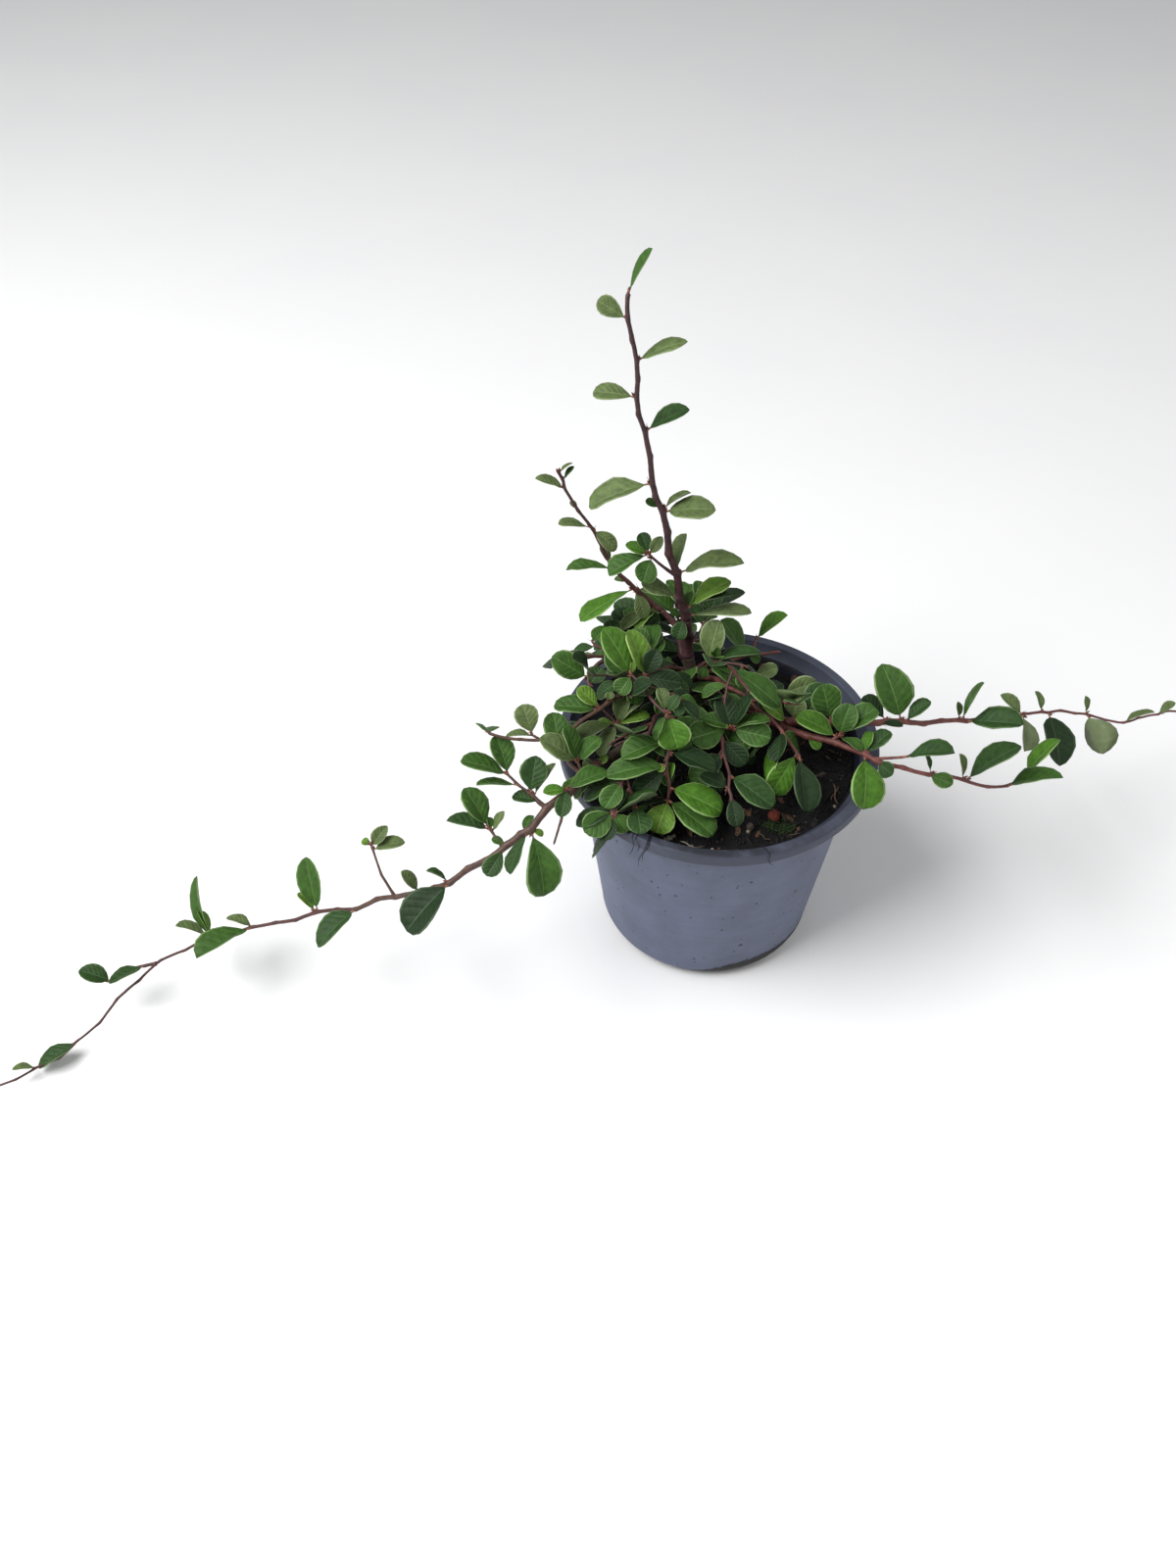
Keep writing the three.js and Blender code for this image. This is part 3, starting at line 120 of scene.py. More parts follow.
# A shoot starts at a height on the stump, or at a place on another shoot. Those with a seed also grow leaves by
# dice: from the distance bare on, of these lengths, lifted so many degrees, with these marks at even stations.
SHOOTS = [
  {
    "name": "upright", "height": 1, "length": 168, "radius": [2.4, 0.8], "face": [0, -1, 0], "slim": 1.05,
    "parts": [[27, "bough_upright"], [168, "spray_upright"]],
    "course": [[133, 72], [141, 80], [159, 75], [166, 77], [175, 76], [182, 78], [196, 82], [186, 87], [88, 56]],
    "set": [[28.5, 355, 21, -20, 26.5], [29, 242, -38, 0, 10, 0.75], [30.8, 72, 50, -16, 8.4],
      [31.6, 26, 31, -8, 22.1], [32.2, 1, 27, -20, 20], [37.3, 171, 29, 0, 17], [49.4, 359, 27, -12, 26.3],
      [50.3, 76, 50, -44, 15.4], [78.5, 351, 20, 8, 20.2], [79.5, 29, 32, -24, 12.7], [80.1, 172, 34, -40, 6.8],
      [92.2, 184, -12, 0, 25.4], [114.7, 6, 39, -4, 17.8], [129.2, 169, 11, -4, 15.7], [143.9, 1, 32, -8, 18.8],
      [159.1, 164, 27, -52, 12.2], [167.6, 31, 64, -24, 16.5]],
    "shades": "gdmykgggggmgdgggm",
    "sides": [
      twig(48, 15, [[161, 28], [157, 34], [153, 41]], "mgfdm", [[12.8, 243, -32, -12, 10.6, 0.81],
        [14, 28, 57, 40, 8.7], [14.6, 176, 28, -28, 9.7], [14.6, 122, 48, -20, 8.8], [14.6, 191, -20, 4, 17.9]],
        [0.9, 0.5]),
    ],
  },
  {
    "name": "back_left", "height": 0.84, "length": 111, "radius": [1.7, 0.6], "face": [0.3, -1, 0], "slim": 1.0,
    "parts": [[32, "bough_back_left"], [111, "spray_back_left"]],
    "course": [[115, 32], [117, 48], [165, 36], [174, 47], [166, 66], [178, 63], [169, 63]],
    "set": [[33.4, 203, -31, 8, 13.3], [35.4, 190, -34, -20, 18.7, 0.42], [45.5, 296, -46, 16, 12.2],
      [45.7, 350, 14, 0, 11.8], [47, 203, -9, 24, 26.2], [50.4, 163, 16, -12, 6.4], [59.8, 173, 3, 12, 19.6],
      [61.2, 144, 56, -8, 9.3], [79.5, 337, -27, 24, 12.2], [80.9, 183, 17, 12, 13.6], [90.2, 141, 42, -24, 5.1],
      [101.6, 176, 30, 8, 12.5], [105.3, 31, 54, -16, 6.9], [108.9, 34, 33, -20, 6.6]],
    "shades": "ygggfgmgggggdg",
  },
  {
    "name": "left_runner", "height": 0.5, "length": 377, "radius": [2.4, 0.5],
    "parts": [[68, "bough_left"], [200, "spray_left_inner"], [377, "spray_left_outer"]],
    "course": [[238, 15], [240, 17], [234, 8], [229, 2], [221, -12], [218, -29], [193, -31], [185, -40],
      [160, -26], [170, -39], [162, -26], [175, -30], [175, -19], [190, -16], [209, -15], [230, -18], [231, -14],
      [215, -1], [200, -4]],
    "set": [[71.2, 174, 6, -36, 5.9], [71.7, 17, 38, 32, 5.6], [72.2, 221, -34, 20, 15.2],
      [76.7, 201, -33, 0, 14.4], [108.1, 294, -38, -8, 26], [108.1, 342, -19, 8, 5.5],
      [108.6, 236, -20, 24, 18.1, 0.46], [111.9, 71, 16, -8, 9.3, 0.44], [119, 166, 24, -8, 6.4, 0.54],
      [120, 239, -16, -24, 13.1], [147.1, 218, -20, 0, 25.1], [147.4, 161, 36, 32, 10.1], [163, 145, 46, 24, 11],
      [196.9, 215, -17, 20, 21.5], [218.6, 110, 54, -40, 23.5, 0.47], [219.6, 135, 35, 28, 11],
      [251.8, 163, 24, 28, 12], [252.5, 217, 7, 20, 26.1], [271.9, 164, 23, 44, 15.4], [272.1, 110, 52, 68, 12.3],
      [272.6, 117, 52, -60, 26.5, 0.42], [341.3, 218, -5, 12, 18.1], [359.9, 195, 32, 24, 9.4]],
    "shades": "gyffmydmmdkdgdmygmgymdg",
    "sides": [
      twig(79, 26, [[144, 33], [151, 30], [158, 26]], "mgg", [[13.2, 100, 45, 12, 15.7], [24.9, 172, 5, 28, 11.1],
        [25.6, 122, 60, -16, 12.3, 0.7]], [1, 0.5]),
      twig(79, 7, [[144, 58], [144, 58]], "mgm", [[6.3, 115, 56, 40, 15.1], [6.6, 172, 46, -16, 18.3],
        [6.6, 48, 34, -20, 13.1]]),
      twig(89, 20, [[251, -41], [249, -41], [247, -41]], radius=[0.8, 0.45]),
      twig(98, 20, [[150, 25], [147, 27], [144, 28]], "dgdmmm", [[3.4, 163, 16, 4, 10.8],
        [6.8, 59, 33, -36, 15.4, 0.42], [8.4, 72, 59, 8, 14.6, 0.72], [14, 186, 17, 20, 16.1],
        [19.6, 174, 29, 16, 18.9], [19.6, 107, 44, 12, 15.6]], [1, 0.5]),
      twig(121, 10, [[137, 32], [137, 32]], "gmdm", [[7.4, 54, 48, -32, 9.4], [8.2, 97, 41, 24, 5.3],
        [8.6, 165, 16, 12, 17], [9.5, 135, 53, 4, 17.9]]),
      twig(175, 23, [[127, 37], [125, 37], [123, 38]], "ggy", [[20.7, 14, 20, -8, 12.8], [22.2, 39, 41, 16, 10.1],
        [22.4, 153, 30, -24, 4.3, 0.72]], [0.7, 0.45]),
      twig(297, 21, [[185, 2], [201, -11], [218, -25]], "dd", [[4.7, 215, 11, 24, 16.3],
        [20.3, 171, 28, -12, 14.1]]),
    ],
  },
  {
    "name": "right_upper", "height": 0.6, "length": 271, "radius": [2.4, 0.5], "taper": 2.5,
    "parts": [[46, "bough_right"], [150, "spray_right_upper_inner"], [271, "spray_right_upper_outer"]],
    "course": [[308, 12], [319, 7], [340, 7], [361, 3], [370, -12], [382, -18], [388, -21], [390, -21],
      [391, -20], [379, -28], [378, -27], [393, -8], [374, -21]],
    "set": [[47.4, 189, 51, -16, 16.3], [48.6, 63, 62, 4, 10.6, 0.86], [51, 33, 39, 24, 18.3, 0.73],
      [64.2, 128, 67, -32, 16.7, 0.7], [83, 345, 9, 16, 10, 0.42], [87.1, 133, 26, 12, 13.9],
      [93.5, 118, 58, -8, 24.3], [94.9, 17, 49, -16, 13.1], [123.1, 85, 43, 48, 7.7], [124.4, 52, 59, -60, 18.3],
      [126.6, 336, 21, 8, 23], [177.2, 97, 40, 40, 9.5], [180.8, 284, -23, -8, 23.7], [207.5, 89, 58, 52, 8.1],
      [208.4, 311, -41, -88, 19, 0.86], [232.1, 13, 31, -40, 14], [256, 6, 52, -16, 9.3]],
    "shades": "ygdmkkmdgmdgkgugg",
    "sides": [
      twig(144, 13, [[3, 3], [3, 3]], "gu", [[12.4, 145, 34, 0, 12.2], [12.6, 290, -51, -88, 15.4, 0.86]]),
    ],
  },
  {
    "name": "right_lower", "on": "right_upper", "at": 33, "length": 129, "radius": [1.8, 0.6], "stub": 12,
    "parts": [[129, "spray_right_lower"]],
    "course": [[309, -3], [328, 15], [327, 1], [341, -11], [362, -12], [366, -26], [389, -25], [387, 1]],
    "set": [[24.7, 317, -7, 12, 7.8], [49.1, 68, 44, -36, 9.5], [49.2, 273, -25, -16, 21.4, 0.77],
      [49.7, 35, 39, 0, 13.2], [54.6, 317, -13, 56, 8.1, 0.82], [75.6, 322, 5, 36, 10, 0.69],
      [76.8, 95, 38, 52, 9.7], [91.7, 95, 54, 56, 10.5], [92.9, 26, 35, -32, 25.1], [115.7, 354, 37, -16, 21.5],
      [127.3, 49, 42, -52, 20]],
    "shades": "fffddmdgdmf",
    "sides": [
      twig(35, 5, [[354, 48], [354, 48]], "fmmm", [[3.2, 150, 16, -4, 17.9], [4.1, 321, -4, -4, 10.9],
        [4.4, 64, 63, 0, 13.2, 0.81], [4.6, 29, 35, -8, 17.7]]),
      twig(53, 12, [[355, 15], [355, 15]], "d", [[11.6, 347, 26, -8, 19.5]]),
    ],
  },
  {
    "name": "front", "height": 0.68, "length": 89, "radius": [1.5, 0.6], "seed": 31, "bare": 18, "leaf": [17, 18],
    "lift": -34, "leaves": "LR LR LR L R",
    "course": [[265, 32], [256, 34], [251, 22], [262, -32], [296, -87]],
    "set": [[64.7, 195, 2, 4, 18.2], [68.6, 337, 4, -4, 19.3], [71.6, 135, 30, 12, 8.3],
      [72.7, 223, -17, -8, 5.1], [73.8, 189, 7, 0, 23.3, 0.49], [75.6, 206, -24, -28, 15.5],
      [80.9, 81, 43, -24, 8.1], [82.7, 342, -11, 0, 22.3], [88.6, 247, -23, -4, 13.8, 0.86],
      [88.6, 321, -8, -12, 22]],
    "shades": "mkmymkffym",
  },
  {
    "name": "front_right", "height": 0.6, "length": 80, "radius": [1.5, 0.6], "seed": 32, "bare": 18,
    "leaf": [17, 18], "lift": -34, "leaves": "LR LR LR R",
    "course": [[283, 40], [277, 6], [274, -26]],
    "set": [[24, 199, -2, -36, 5.8, 0.83], [51.8, 318, -28, 28, 13.6], [58.8, 221, -17, -20, 9.1, 0.84],
      [68.7, 330, -19, 4, 20.9], [74.4, 151, 17, 4, 12], [76.9, 283, -23, 0, 12.3]],
    "shades": "gkkdkk",
    "sides": [
      twig(43, 8, [[318, 16], [318, 16]], "mmkmymk", [[5.5, 209, 3, -32, 16, 0.72], [6.7, 167, 27, -4, 11.1],
        [7.2, 108, 44, -12, 14.1], [7.6, 334, 7, 40, 15.6], [7.6, 161, 10, -8, 8.2], [7.6, 1, 29, -16, 15.2],
        [7.6, 49, 56, -36, 15.1]]),
    ],
  },
  {
    "name": "right_front", "height": 0.85, "length": 72, "radius": [1.5, 0.6], "seed": 40, "bare": 18,
    "leaf": [17, 20], "lift": -30, "leaves": "LR L R LR R", "twigs": [1, 20, 46],
    "course": [[303, 44], [305, 6], [307, -24]],
    "set": [[58.7, 257, 0, 40, 14.5], [61.5, 231, -44, 40, 19.9], [69.6, 230, -31, -36, 18],
      [70.9, 275, -26, -16, 22.4]],
    "shades": "kffk",
  },
  {
    "name": "front_left", "height": 0.85, "length": 103, "radius": [1.6, 0.6], "seed": 33, "bare": 20,
    "leaf": [17, 18], "lift": -34, "leaves": "LR LR L LR R", "twigs": [1, 20, 46],
    "course": [[252, 48], [247, 12], [241, -16], [262, -52]],
    "set": [[81.4, 238, -21, -12, 12.9, 0.73], [93.1, 191, -12, 0, 15.8], [94, 308, -33, 16, 9, 0.86],
      [94.1, 217, -9, -28, 13.8, 0.7], [94.5, 23, 19, -40, 17.9, 0.86], [95.2, 242, -21, -12, 10.7, 0.76]],
    "shades": "mkmmdk",
  },
  {
    "name": "left", "height": 0.75, "length": 112, "radius": [1.6, 0.6], "seed": 35, "bare": 20, "leaf": [17, 17],
    "lift": -24, "leaves": "LR L R L LR . R LR", "twigs": [2, 20, 46],
    "course": [[230, 46], [227, 18], [220, -8], [160, 10]],
    "set": [[58.3, 81, 63, 0, 4.1, 0.86], [63.4, 155, 43, 0, 11.9], [64, 174, 6, -4, 17.6]],
    "shades": "gym",
  },
  {
    "name": "left_back", "height": 0.78, "length": 62, "radius": [1.5, 0.6], "seed": 36, "bare": 18,
    "leaf": [17, 18], "lift": -46, "leaves": "R R R R",
    "course": [[206, 50], [202, 26], [182, 14]],
    "sides": [
      twig(46, 35, [[193, -18], [251, -26], [326, -28], [310, -12]], "mdygggyg", [[11.9, 173, 33, -44, 16.7],
        [15.1, 49, 40, 20, 8.7, 0.86], [33.3, 186, -9, -8, 7.9], [33.9, 201, -3, 16, 18.2],
        [34.6, 63, 51, 12, 13.2, 0.53], [34.6, 43, 33, -24, 14.7], [34.6, 1, 24, -4, 13.3],
        [34.6, 232, -40, 20, 14.9]], [1, 0.5]),
    ],
  },
  {
    "name": "back", "height": 0.7, "length": 38, "radius": [1.4, 0.6], "seed": 37, "bare": 16, "leaf": [17, 17],
    "lift": 0, "leaves": "LR L R L RT", "twigs": [1, 18, 50],
    "course": [[150, 24], [142, 8], [134, -2]],
  },
  {
    "name": "behind", "height": 0.7, "length": 40, "radius": [1.4, 0.6], "seed": 45, "bare": 14, "leaf": [17, 17],
    "lift": 4, "leaves": "LR L R L RT", "twigs": [1, 18, 50],
    "course": [[104, 32], [100, 16], [96, 0]],
  },
  {
    "name": "right_back", "height": 0.6, "length": 40, "radius": [1.3, 0.6], "seed": 44, "bare": 14,
    "leaf": [16, 16], "lift": -30, "leaves": "L .",
    "course": [[22, 38], [14, 14], [6, 0]],
    "set": [[24.8, 137, 51, 16, 18], [25.7, 336, -6, 44, 5.9]],
    "shades": "mm",
    "sides": [
      twig(28, 7, [[82, 51], [82, 51]], "f", [[6.6, 17, 47, -4, 16.6]]),
    ],
  },
  {
    "name": "right", "height": 0.8, "length": 44, "radius": [1.3, 0.6], "seed": 46, "bare": 16, "leaf": [16, 18],
    "lift": -26, "leaves": "R R R",
    "course": [[345, 47], [338, 20], [327, 2], [305, 2]],
    "set": [[28, 354, 29, 44, 10.5], [39.3, 200, -8, -8, 13.5], [43.6, 8, 21, 48, 14.2]],
    "shades": "gkg",
  },
  {
    "name": "centre", "height": 0.95, "length": 74, "radius": [1.5, 0.6], "seed": 38, "bare": 18,
    "leaf": [16, 17], "lift": -30, "leaves": "LR L R LR",
    "course": [[240, 52], [235, 42], [231, 29], [264, 12], [332, -23]],
    "set": [[49.5, 116, 60, 24, 19.4], [49.5, 352, -3, 40, 14.7], [49.5, 42, 58, 24, 12, 0.7],
      [72.8, 100, 44, 32, 9.6], [73.6, 41, 55, 0, 8.2], [73.6, 294, -41, 12, 14.1, 0.86],
      [73.6, 237, -28, 40, 11]],
    "shades": "ykkgdfm",
    "sides": [
      twig(58, 8, [[139, 16], [139, 16]], "fmy", [[7.6, 138, 54, 8, 21.1], [7.6, 225, -38, -20, 8.8, 0.86],
        [7.6, 76, 61, 36, 5.1, 0.5]]),
    ],
  },
  {
    "name": "centre_right", "height": 0.95, "length": 60, "radius": [1.4, 0.6], "seed": 39, "bare": 18,
    "leaf": [16, 17], "lift": -34, "leaves": "L R LR L R",
    "course": [[296, 68], [292, 34], [292, 0]],
    "set": [[17.7, 58, 64, 0, 17.9], [18, 235, -44, -12, 6.4, 0.76], [18.7, 323, -9, 4, 15.6],
      [19.7, 354, 21, -16, 21.5], [42.2, 334, -20, -8, 24.1]],
    "shades": "gmmdm",
  },
]

# %% [markdown]
# ## Camera, light and floor
# A product photo of a plant is lit by a large soft light, so that glossy leaves don't sparkle and the pot has
# no hard edge of shade. A wide area lamp above and a pale sky do this, where one small lamp would cast sharp
# shadows. The camera looks down on the pot at the angle of the photo, which was worked out from the ellipse of
# the rim.

# %% Camera
CAMERA_PLACE = (-0.05294, -0.40057, 0.50537)
CAMERA_TILT = 43.0
camera_data = bpy.data.cameras.new("camera")
camera_data.lens = 32.0
camera_data.sensor_width = 36.0
camera_data.clip_start = 0.01
camera = bpy.data.objects.new("camera", camera_data)
camera.location = CAMERA_PLACE
camera.rotation_euler = (math.radians(CAMERA_TILT), 0, 0)
bpy.context.scene.collection.objects.link(camera)
bpy.context.scene.camera = camera
bpy.context.scene.view_settings.view_transform = "Standard"
print("camera looks down", 90 - CAMERA_TILT, "degrees")


# %% Light
LAMP_AIM = (0, 0, 0.1)
SKY_COLOUR = (0.97, 0.98, 1.0, 1.0)
SKY_STRENGTH = 0.27


def area_light(name, place, size, power):
    """Square lamp at a place, turned towards LAMP_AIM; size in metres, power in watts."""
    data = bpy.data.lights.new(name, "AREA")
    data.size = size
    data.energy = power
    lamp = bpy.data.objects.new(name, data)
    lamp.location = place
    way = np.array(LAMP_AIM) - np.array(place)
    level = math.hypot(way[0], way[1])
    lamp.rotation_euler = (math.atan2(level, -way[2]), 0, math.atan2(-way[0], way[1]))
    bpy.context.scene.collection.objects.link(lamp)


area_light("key_light", place=(-0.85, -0.3, 1.2), size=1.0, power=28.0)
area_light("fill_light", place=(0.9, -0.2, 0.9), size=1.2, power=5.0)
world = bpy.data.worlds.new("sky")
world.use_nodes = True
sky = world.node_tree.nodes["Background"]
sky.inputs["Color"].default_value = SKY_COLOUR
sky.inputs["Strength"].default_value = SKY_STRENGTH
bpy.context.scene.world = world
print("lamps:", len(bpy.data.lights))

# %% [markdown]
# ## Helpers for surfaces
# Every piece here is a surface worked out with arrays: points as a function of two parameters, and faces that
# join neighbouring points. A piece may gather many such surfaces, each with its own finish, before it becomes a
# mesh.


# %% Gather surfaces into a piece
class Shape:
    """Surfaces of one piece: points in millimetres with a UV each, and faces with a material number each."""

    def __init__(self):
        self.points, self.uvs, self.faces, self.count = [], [], [], 0

    def add(self, points, faces, uv=None):
        """Adds points (n, 3) and a list of faces (corner numbers (f, k), material number or numbers,
        smooth)."""
        points = np.asarray(points, float).reshape(-1, 3)
        self.points.append(points)
        self.uvs.append(np.zeros((len(points), 2)) if uv is None else np.asarray(uv, float).reshape(-1, 2))
        for corners, material, smooth in faces:
            numbers = np.broadcast_to(material, len(corners))
            self.faces.append((np.asarray(corners) + self.count, numbers, smooth))
        self.count += len(points)

    def piece(self, name, materials):
        """Mesh object of what was gathered, with only those of the materials that it uses."""
        points = np.concatenate(self.points) * MM
        loops = np.concatenate([corners.ravel() for corners, _, _ in self.faces])
        sizes = np.concatenate([np.full(len(c), c.shape[1]) for c, _, _ in self.faces])
        numbers = np.concatenate([m for _, m, _ in self.faces])
        smooth = np.concatenate([np.full(len(c), s) for c, _, s in self.faces])
        # A slot for each material that occurs, and the slot of each face
        used, slots = np.unique(numbers, return_inverse=True)
        mesh = bpy.data.meshes.new(name)
        mesh.vertices.add(len(points))
        mesh.vertices.foreach_set("co", points.ravel())
        mesh.loops.add(len(loops))
        mesh.loops.foreach_set("vertex_index", loops.astype(np.int32))
        mesh.polygons.add(len(sizes))
        starts = np.concatenate([[0], np.cumsum(sizes)[:-1]])
        mesh.polygons.foreach_set("loop_start", starts.astype(np.int32))
        mesh.polygons.foreach_set("material_index", slots.astype(np.int32).ravel())
        mesh.polygons.foreach_set("use_smooth", smooth)
        mesh.update(calc_edges=True)
        layer = mesh.uv_layers.new(name="UVMap")
        layer.data.foreach_set("uv", np.concatenate(self.uvs)[loops].ravel())
        mesh.validate()
        for number in used:
            mesh.materials.append(materials[int(number)])
        thing = bpy.data.objects.new(name, mesh)
        bpy.context.scene.collection.objects.link(thing)
        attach(thing, "root")
        print(name, "faces:", len(sizes))
        return thing


# %% Grids of faces
def grid(rows, columns, closed=False):
    """Quads (f, 4) between neighbouring points of a grid of rows; closed joins the last column to the first."""
    numbers = np.arange(rows * columns).reshape(rows, columns)
    if closed:
        numbers = np.concatenate([numbers, numbers[:, :1]], axis=1)
    a, b = numbers[:-1, :-1], numbers[:-1, 1:]
    c, d = numbers[1:, 1:], numbers[1:, :-1]
    return np.stack([a, b, c, d], axis=-1).reshape(-1, 4)


def fans(rows, columns):
    """Triangles that close both ends of a closed grid on two more points, numbered after the grid's own."""
    first = np.arange(columns)
    last = first + (rows - 1) * columns
    foot, head = np.full(columns, rows * columns), np.full(columns, rows * columns + 1)
    low = np.stack([np.roll(first, -1), first, foot], axis=-1)
    high = np.stack([last, np.roll(last, -1), head], axis=-1)
    return low, high


def round_steps(count):
    """Angles of even steps round a circle, as many as the count."""
    return 2 * np.pi * np.arange(count) / count


def spokes(angle, a, b):
    """Vectors (n, k, 3) at angles from each of the vectors a towards its own of b: a * cos + b * sin."""
    return np.cos(angle)[None, :, None] * a[:, None] + np.sin(angle)[None, :, None] * b[:, None]


def repeated(corners, points_each, times):
    """The same faces for each of many like surfaces: corner numbers plus the count of points before each."""
    steps = np.arange(times)[:, None, None] * points_each
    return (corners[None] + steps).reshape(-1, corners.shape[1])


# %% Smooth noise
LATTICE_SIZE = 32
LATTICE = np.random.default_rng(5).uniform(-1, 1, (LATTICE_SIZE,) * 3)


def noise(points):
    """Noise between -1 and 1: random numbers on a unit lattice, blended by a smooth step of each coordinate."""
    points = np.asarray(points, float)
    whole = np.floor(points).astype(int)
    part = points - whole
    part = part * part * (3 - 2 * part)
    total = 0.0
    for corner in np.ndindex(2, 2, 2):
        weight = np.prod(np.where(corner, part, 1 - part), axis=-1)
        i, j, k = np.moveaxis((whole + np.array(corner)) % LATTICE_SIZE, -1, 0)
        total = total + weight * LATTICE[i, j, k]
    return total


# %% [markdown]
# ## Helpers for finishes
# A finish is a Principled shader fed by patterns. Patterns that several finishes share are node groups, made
# once: a mottle that mixes two colours by noise, and a grain that gives a height for fine bumps. Plain values
# such as the sheen of a leaf are set on the shader itself.


# %% Colours and node helpers
def colour(rgb):
    """Linear colour with alpha from three 0-255 values as a screen shows them."""
    values = np.array(rgb) / 255
    linear = np.where(values <= 0.04045, values / 12.92, ((values + 0.055) / 1.055) ** 2.4)
    return (*[float(v) for v in linear], 1.0)


def shaded(rgb, share):
    """The 0-255 values of a colour made darker by a share."""
    return [value * (1 - share) for value in rgb]


def new_group(name, inputs, outputs):
    """Node group with named sockets: inputs as (name, kind, value), outputs as (name, kind)."""
    group = bpy.data.node_groups.new(name, "ShaderNodeTree")
    for label, kind, value in inputs:
        socket = group.interface.new_socket(label, in_out="INPUT", socket_type=kind)
        socket.default_value = value
    for label, kind in outputs:
        group.interface.new_socket(label, in_out="OUTPUT", socket_type=kind)
    return group, group.nodes.new("NodeGroupInput"), group.nodes.new("NodeGroupOutput")


def add_node(tree, kind, values, **settings):
    """Node of a kind, with its settings. Each named or numbered input gets a plain value or a link from a
    socket."""
    node = tree.nodes.new(kind)
    for key, value in settings.items():
        setattr(node, key, value)
    for key, value in values.items():
        if isinstance(value, bpy.types.NodeSocket):
            tree.links.new(value, node.inputs[key])
        else:
            node.inputs[key].default_value = value
    return node


def node_of(tree, kind):
    """The first node of a kind in a tree."""
    return next(node for node in tree.nodes if node.type == kind)


def calc(tree, operation, *values):
    """Result of a maths node on values that are sockets or plain numbers."""
    return add_node(tree, "ShaderNodeMath", dict(enumerate(values)), operation=operation).outputs[0]


def between(tree, value, low, high):
    """Share of the way from low to high, cut off at both ends."""
    ramp = add_node(tree, "ShaderNodeMapRange", {"Value": value, "From Min": low, "From Max": high})
    return ramp.outputs["Result"]


# %% Mottle group
FLOAT, TINT, VECTOR = "NodeSocketFloat", "NodeSocketColor", "NodeSocketVector"
MOTTLE, inlet, outlet = new_group(
    "mottle",
    [("Vector", VECTOR, (0, 0, 0)), ("Scale", FLOAT, 200.0), ("Amount", FLOAT, 0.5),
     ("Base", TINT, (1, 1, 1, 1)), ("Shade", TINT, (0, 0, 0, 1))],
    [("Color", TINT)],
)
given = inlet.outputs
cloud = add_node(MOTTLE, "ShaderNodeTexNoise", {
    "Vector": given["Vector"], "Scale": given["Scale"], "Detail": 4.0, "Roughness": 0.6,
})
share = calc(MOTTLE, "MULTIPLY", between(MOTTLE, cloud.outputs["Fac"], 0.34, 0.66), given["Amount"])
mixed = add_node(MOTTLE, "ShaderNodeMix", {
    "Factor": share, "A": given["Base"], "B": given["Shade"],
}, data_type="RGBA")
MOTTLE.links.new(mixed.outputs["Result"], outlet.inputs["Color"])

# %% Specks group
SPECKS, inlet, outlet = new_group(
    "specks",
    [("Vector", VECTOR, (0, 0, 0)), ("Scale", FLOAT, 100.0), ("Size", FLOAT, 0.12), ("Rarity", FLOAT, 0.55)],
    [("Mask", FLOAT)],
)
given = inlet.outputs
dots = add_node(SPECKS, "ShaderNodeTexVoronoi", {
    "Vector": given["Vector"], "Scale": given["Scale"],
}, feature="F1")
lots = add_node(SPECKS, "ShaderNodeSeparateColor", {0: dots.outputs["Color"]})
own_size = calc(SPECKS, "MULTIPLY", given["Size"], calc(SPECKS, "ADD", lots.outputs[1], 0.3))
inside = calc(SPECKS, "LESS_THAN", dots.outputs["Distance"], own_size)
rare = calc(SPECKS, "GREATER_THAN", lots.outputs[0], given["Rarity"])
SPECKS.links.new(calc(SPECKS, "MULTIPLY", inside, rare), outlet.inputs["Mask"])


# %% A finish from two mottled colours and a bump
def finish(name, base, shade, *, scale, amount, roughness, bump_scale, bump, specular=0.5):
    """Principled material: base mottled by an amount of shade in patches of a scale, and a noise of bump_scale
    as a bump of the given height in mm."""
    material = bpy.data.materials.new(name)
    material.use_nodes = True
    tree = material.node_tree
    shader = tree.nodes["Principled BSDF"]
    place = add_node(tree, "ShaderNodeTexCoord", {}).outputs["Object"]
    mottle = add_node(tree, "ShaderNodeGroup", {
        "Vector": place, "Scale": scale, "Amount": amount, "Base": colour(base),
        "Shade": colour(shade),
    }, node_tree=MOTTLE)
    grain = add_node(tree, "ShaderNodeTexNoise", {"Vector": place, "Scale": bump_scale, "Detail": 4.0})
    relief = add_node(tree, "ShaderNodeBump", {
        "Strength": 1.0, "Distance": bump * MM, "Height": grain.outputs["Fac"],
    })
    tree.links.new(mottle.outputs["Color"], shader.inputs["Base Color"])
    tree.links.new(relief.outputs["Normal"], shader.inputs["Normal"])
    shader.inputs["Roughness"].default_value = roughness
    shader.inputs["Specular IOR Level"].default_value = specular
    return material


def finishes(table, **values):
    """A finish for each name of a table of bases and shades, all with the same values."""
    return [finish(name, base, shade, **values) for name, (base, shade) in table.items()]


# %% Floor
GROUND_REACH = 4
floor_corners = [(x * GROUND_REACH, y * GROUND_REACH, 0) for x, y in ((-1, -1), (1, -1), (1, 1), (-1, 1))]
floor_mesh = bpy.data.meshes.new("floor")
floor_mesh.from_pydata(floor_corners, [], [(0, 1, 2, 3)])
floor = bpy.data.objects.new("floor", floor_mesh)
bpy.context.scene.collection.objects.link(floor)
floor_mesh.materials.append(finish(
    "pale_floor", (244, 244, 244), (240, 240, 241),
    scale=6.0, amount=0.5, roughness=0.75, bump_scale=300.0, bump=0.02, specular=0.2,
))

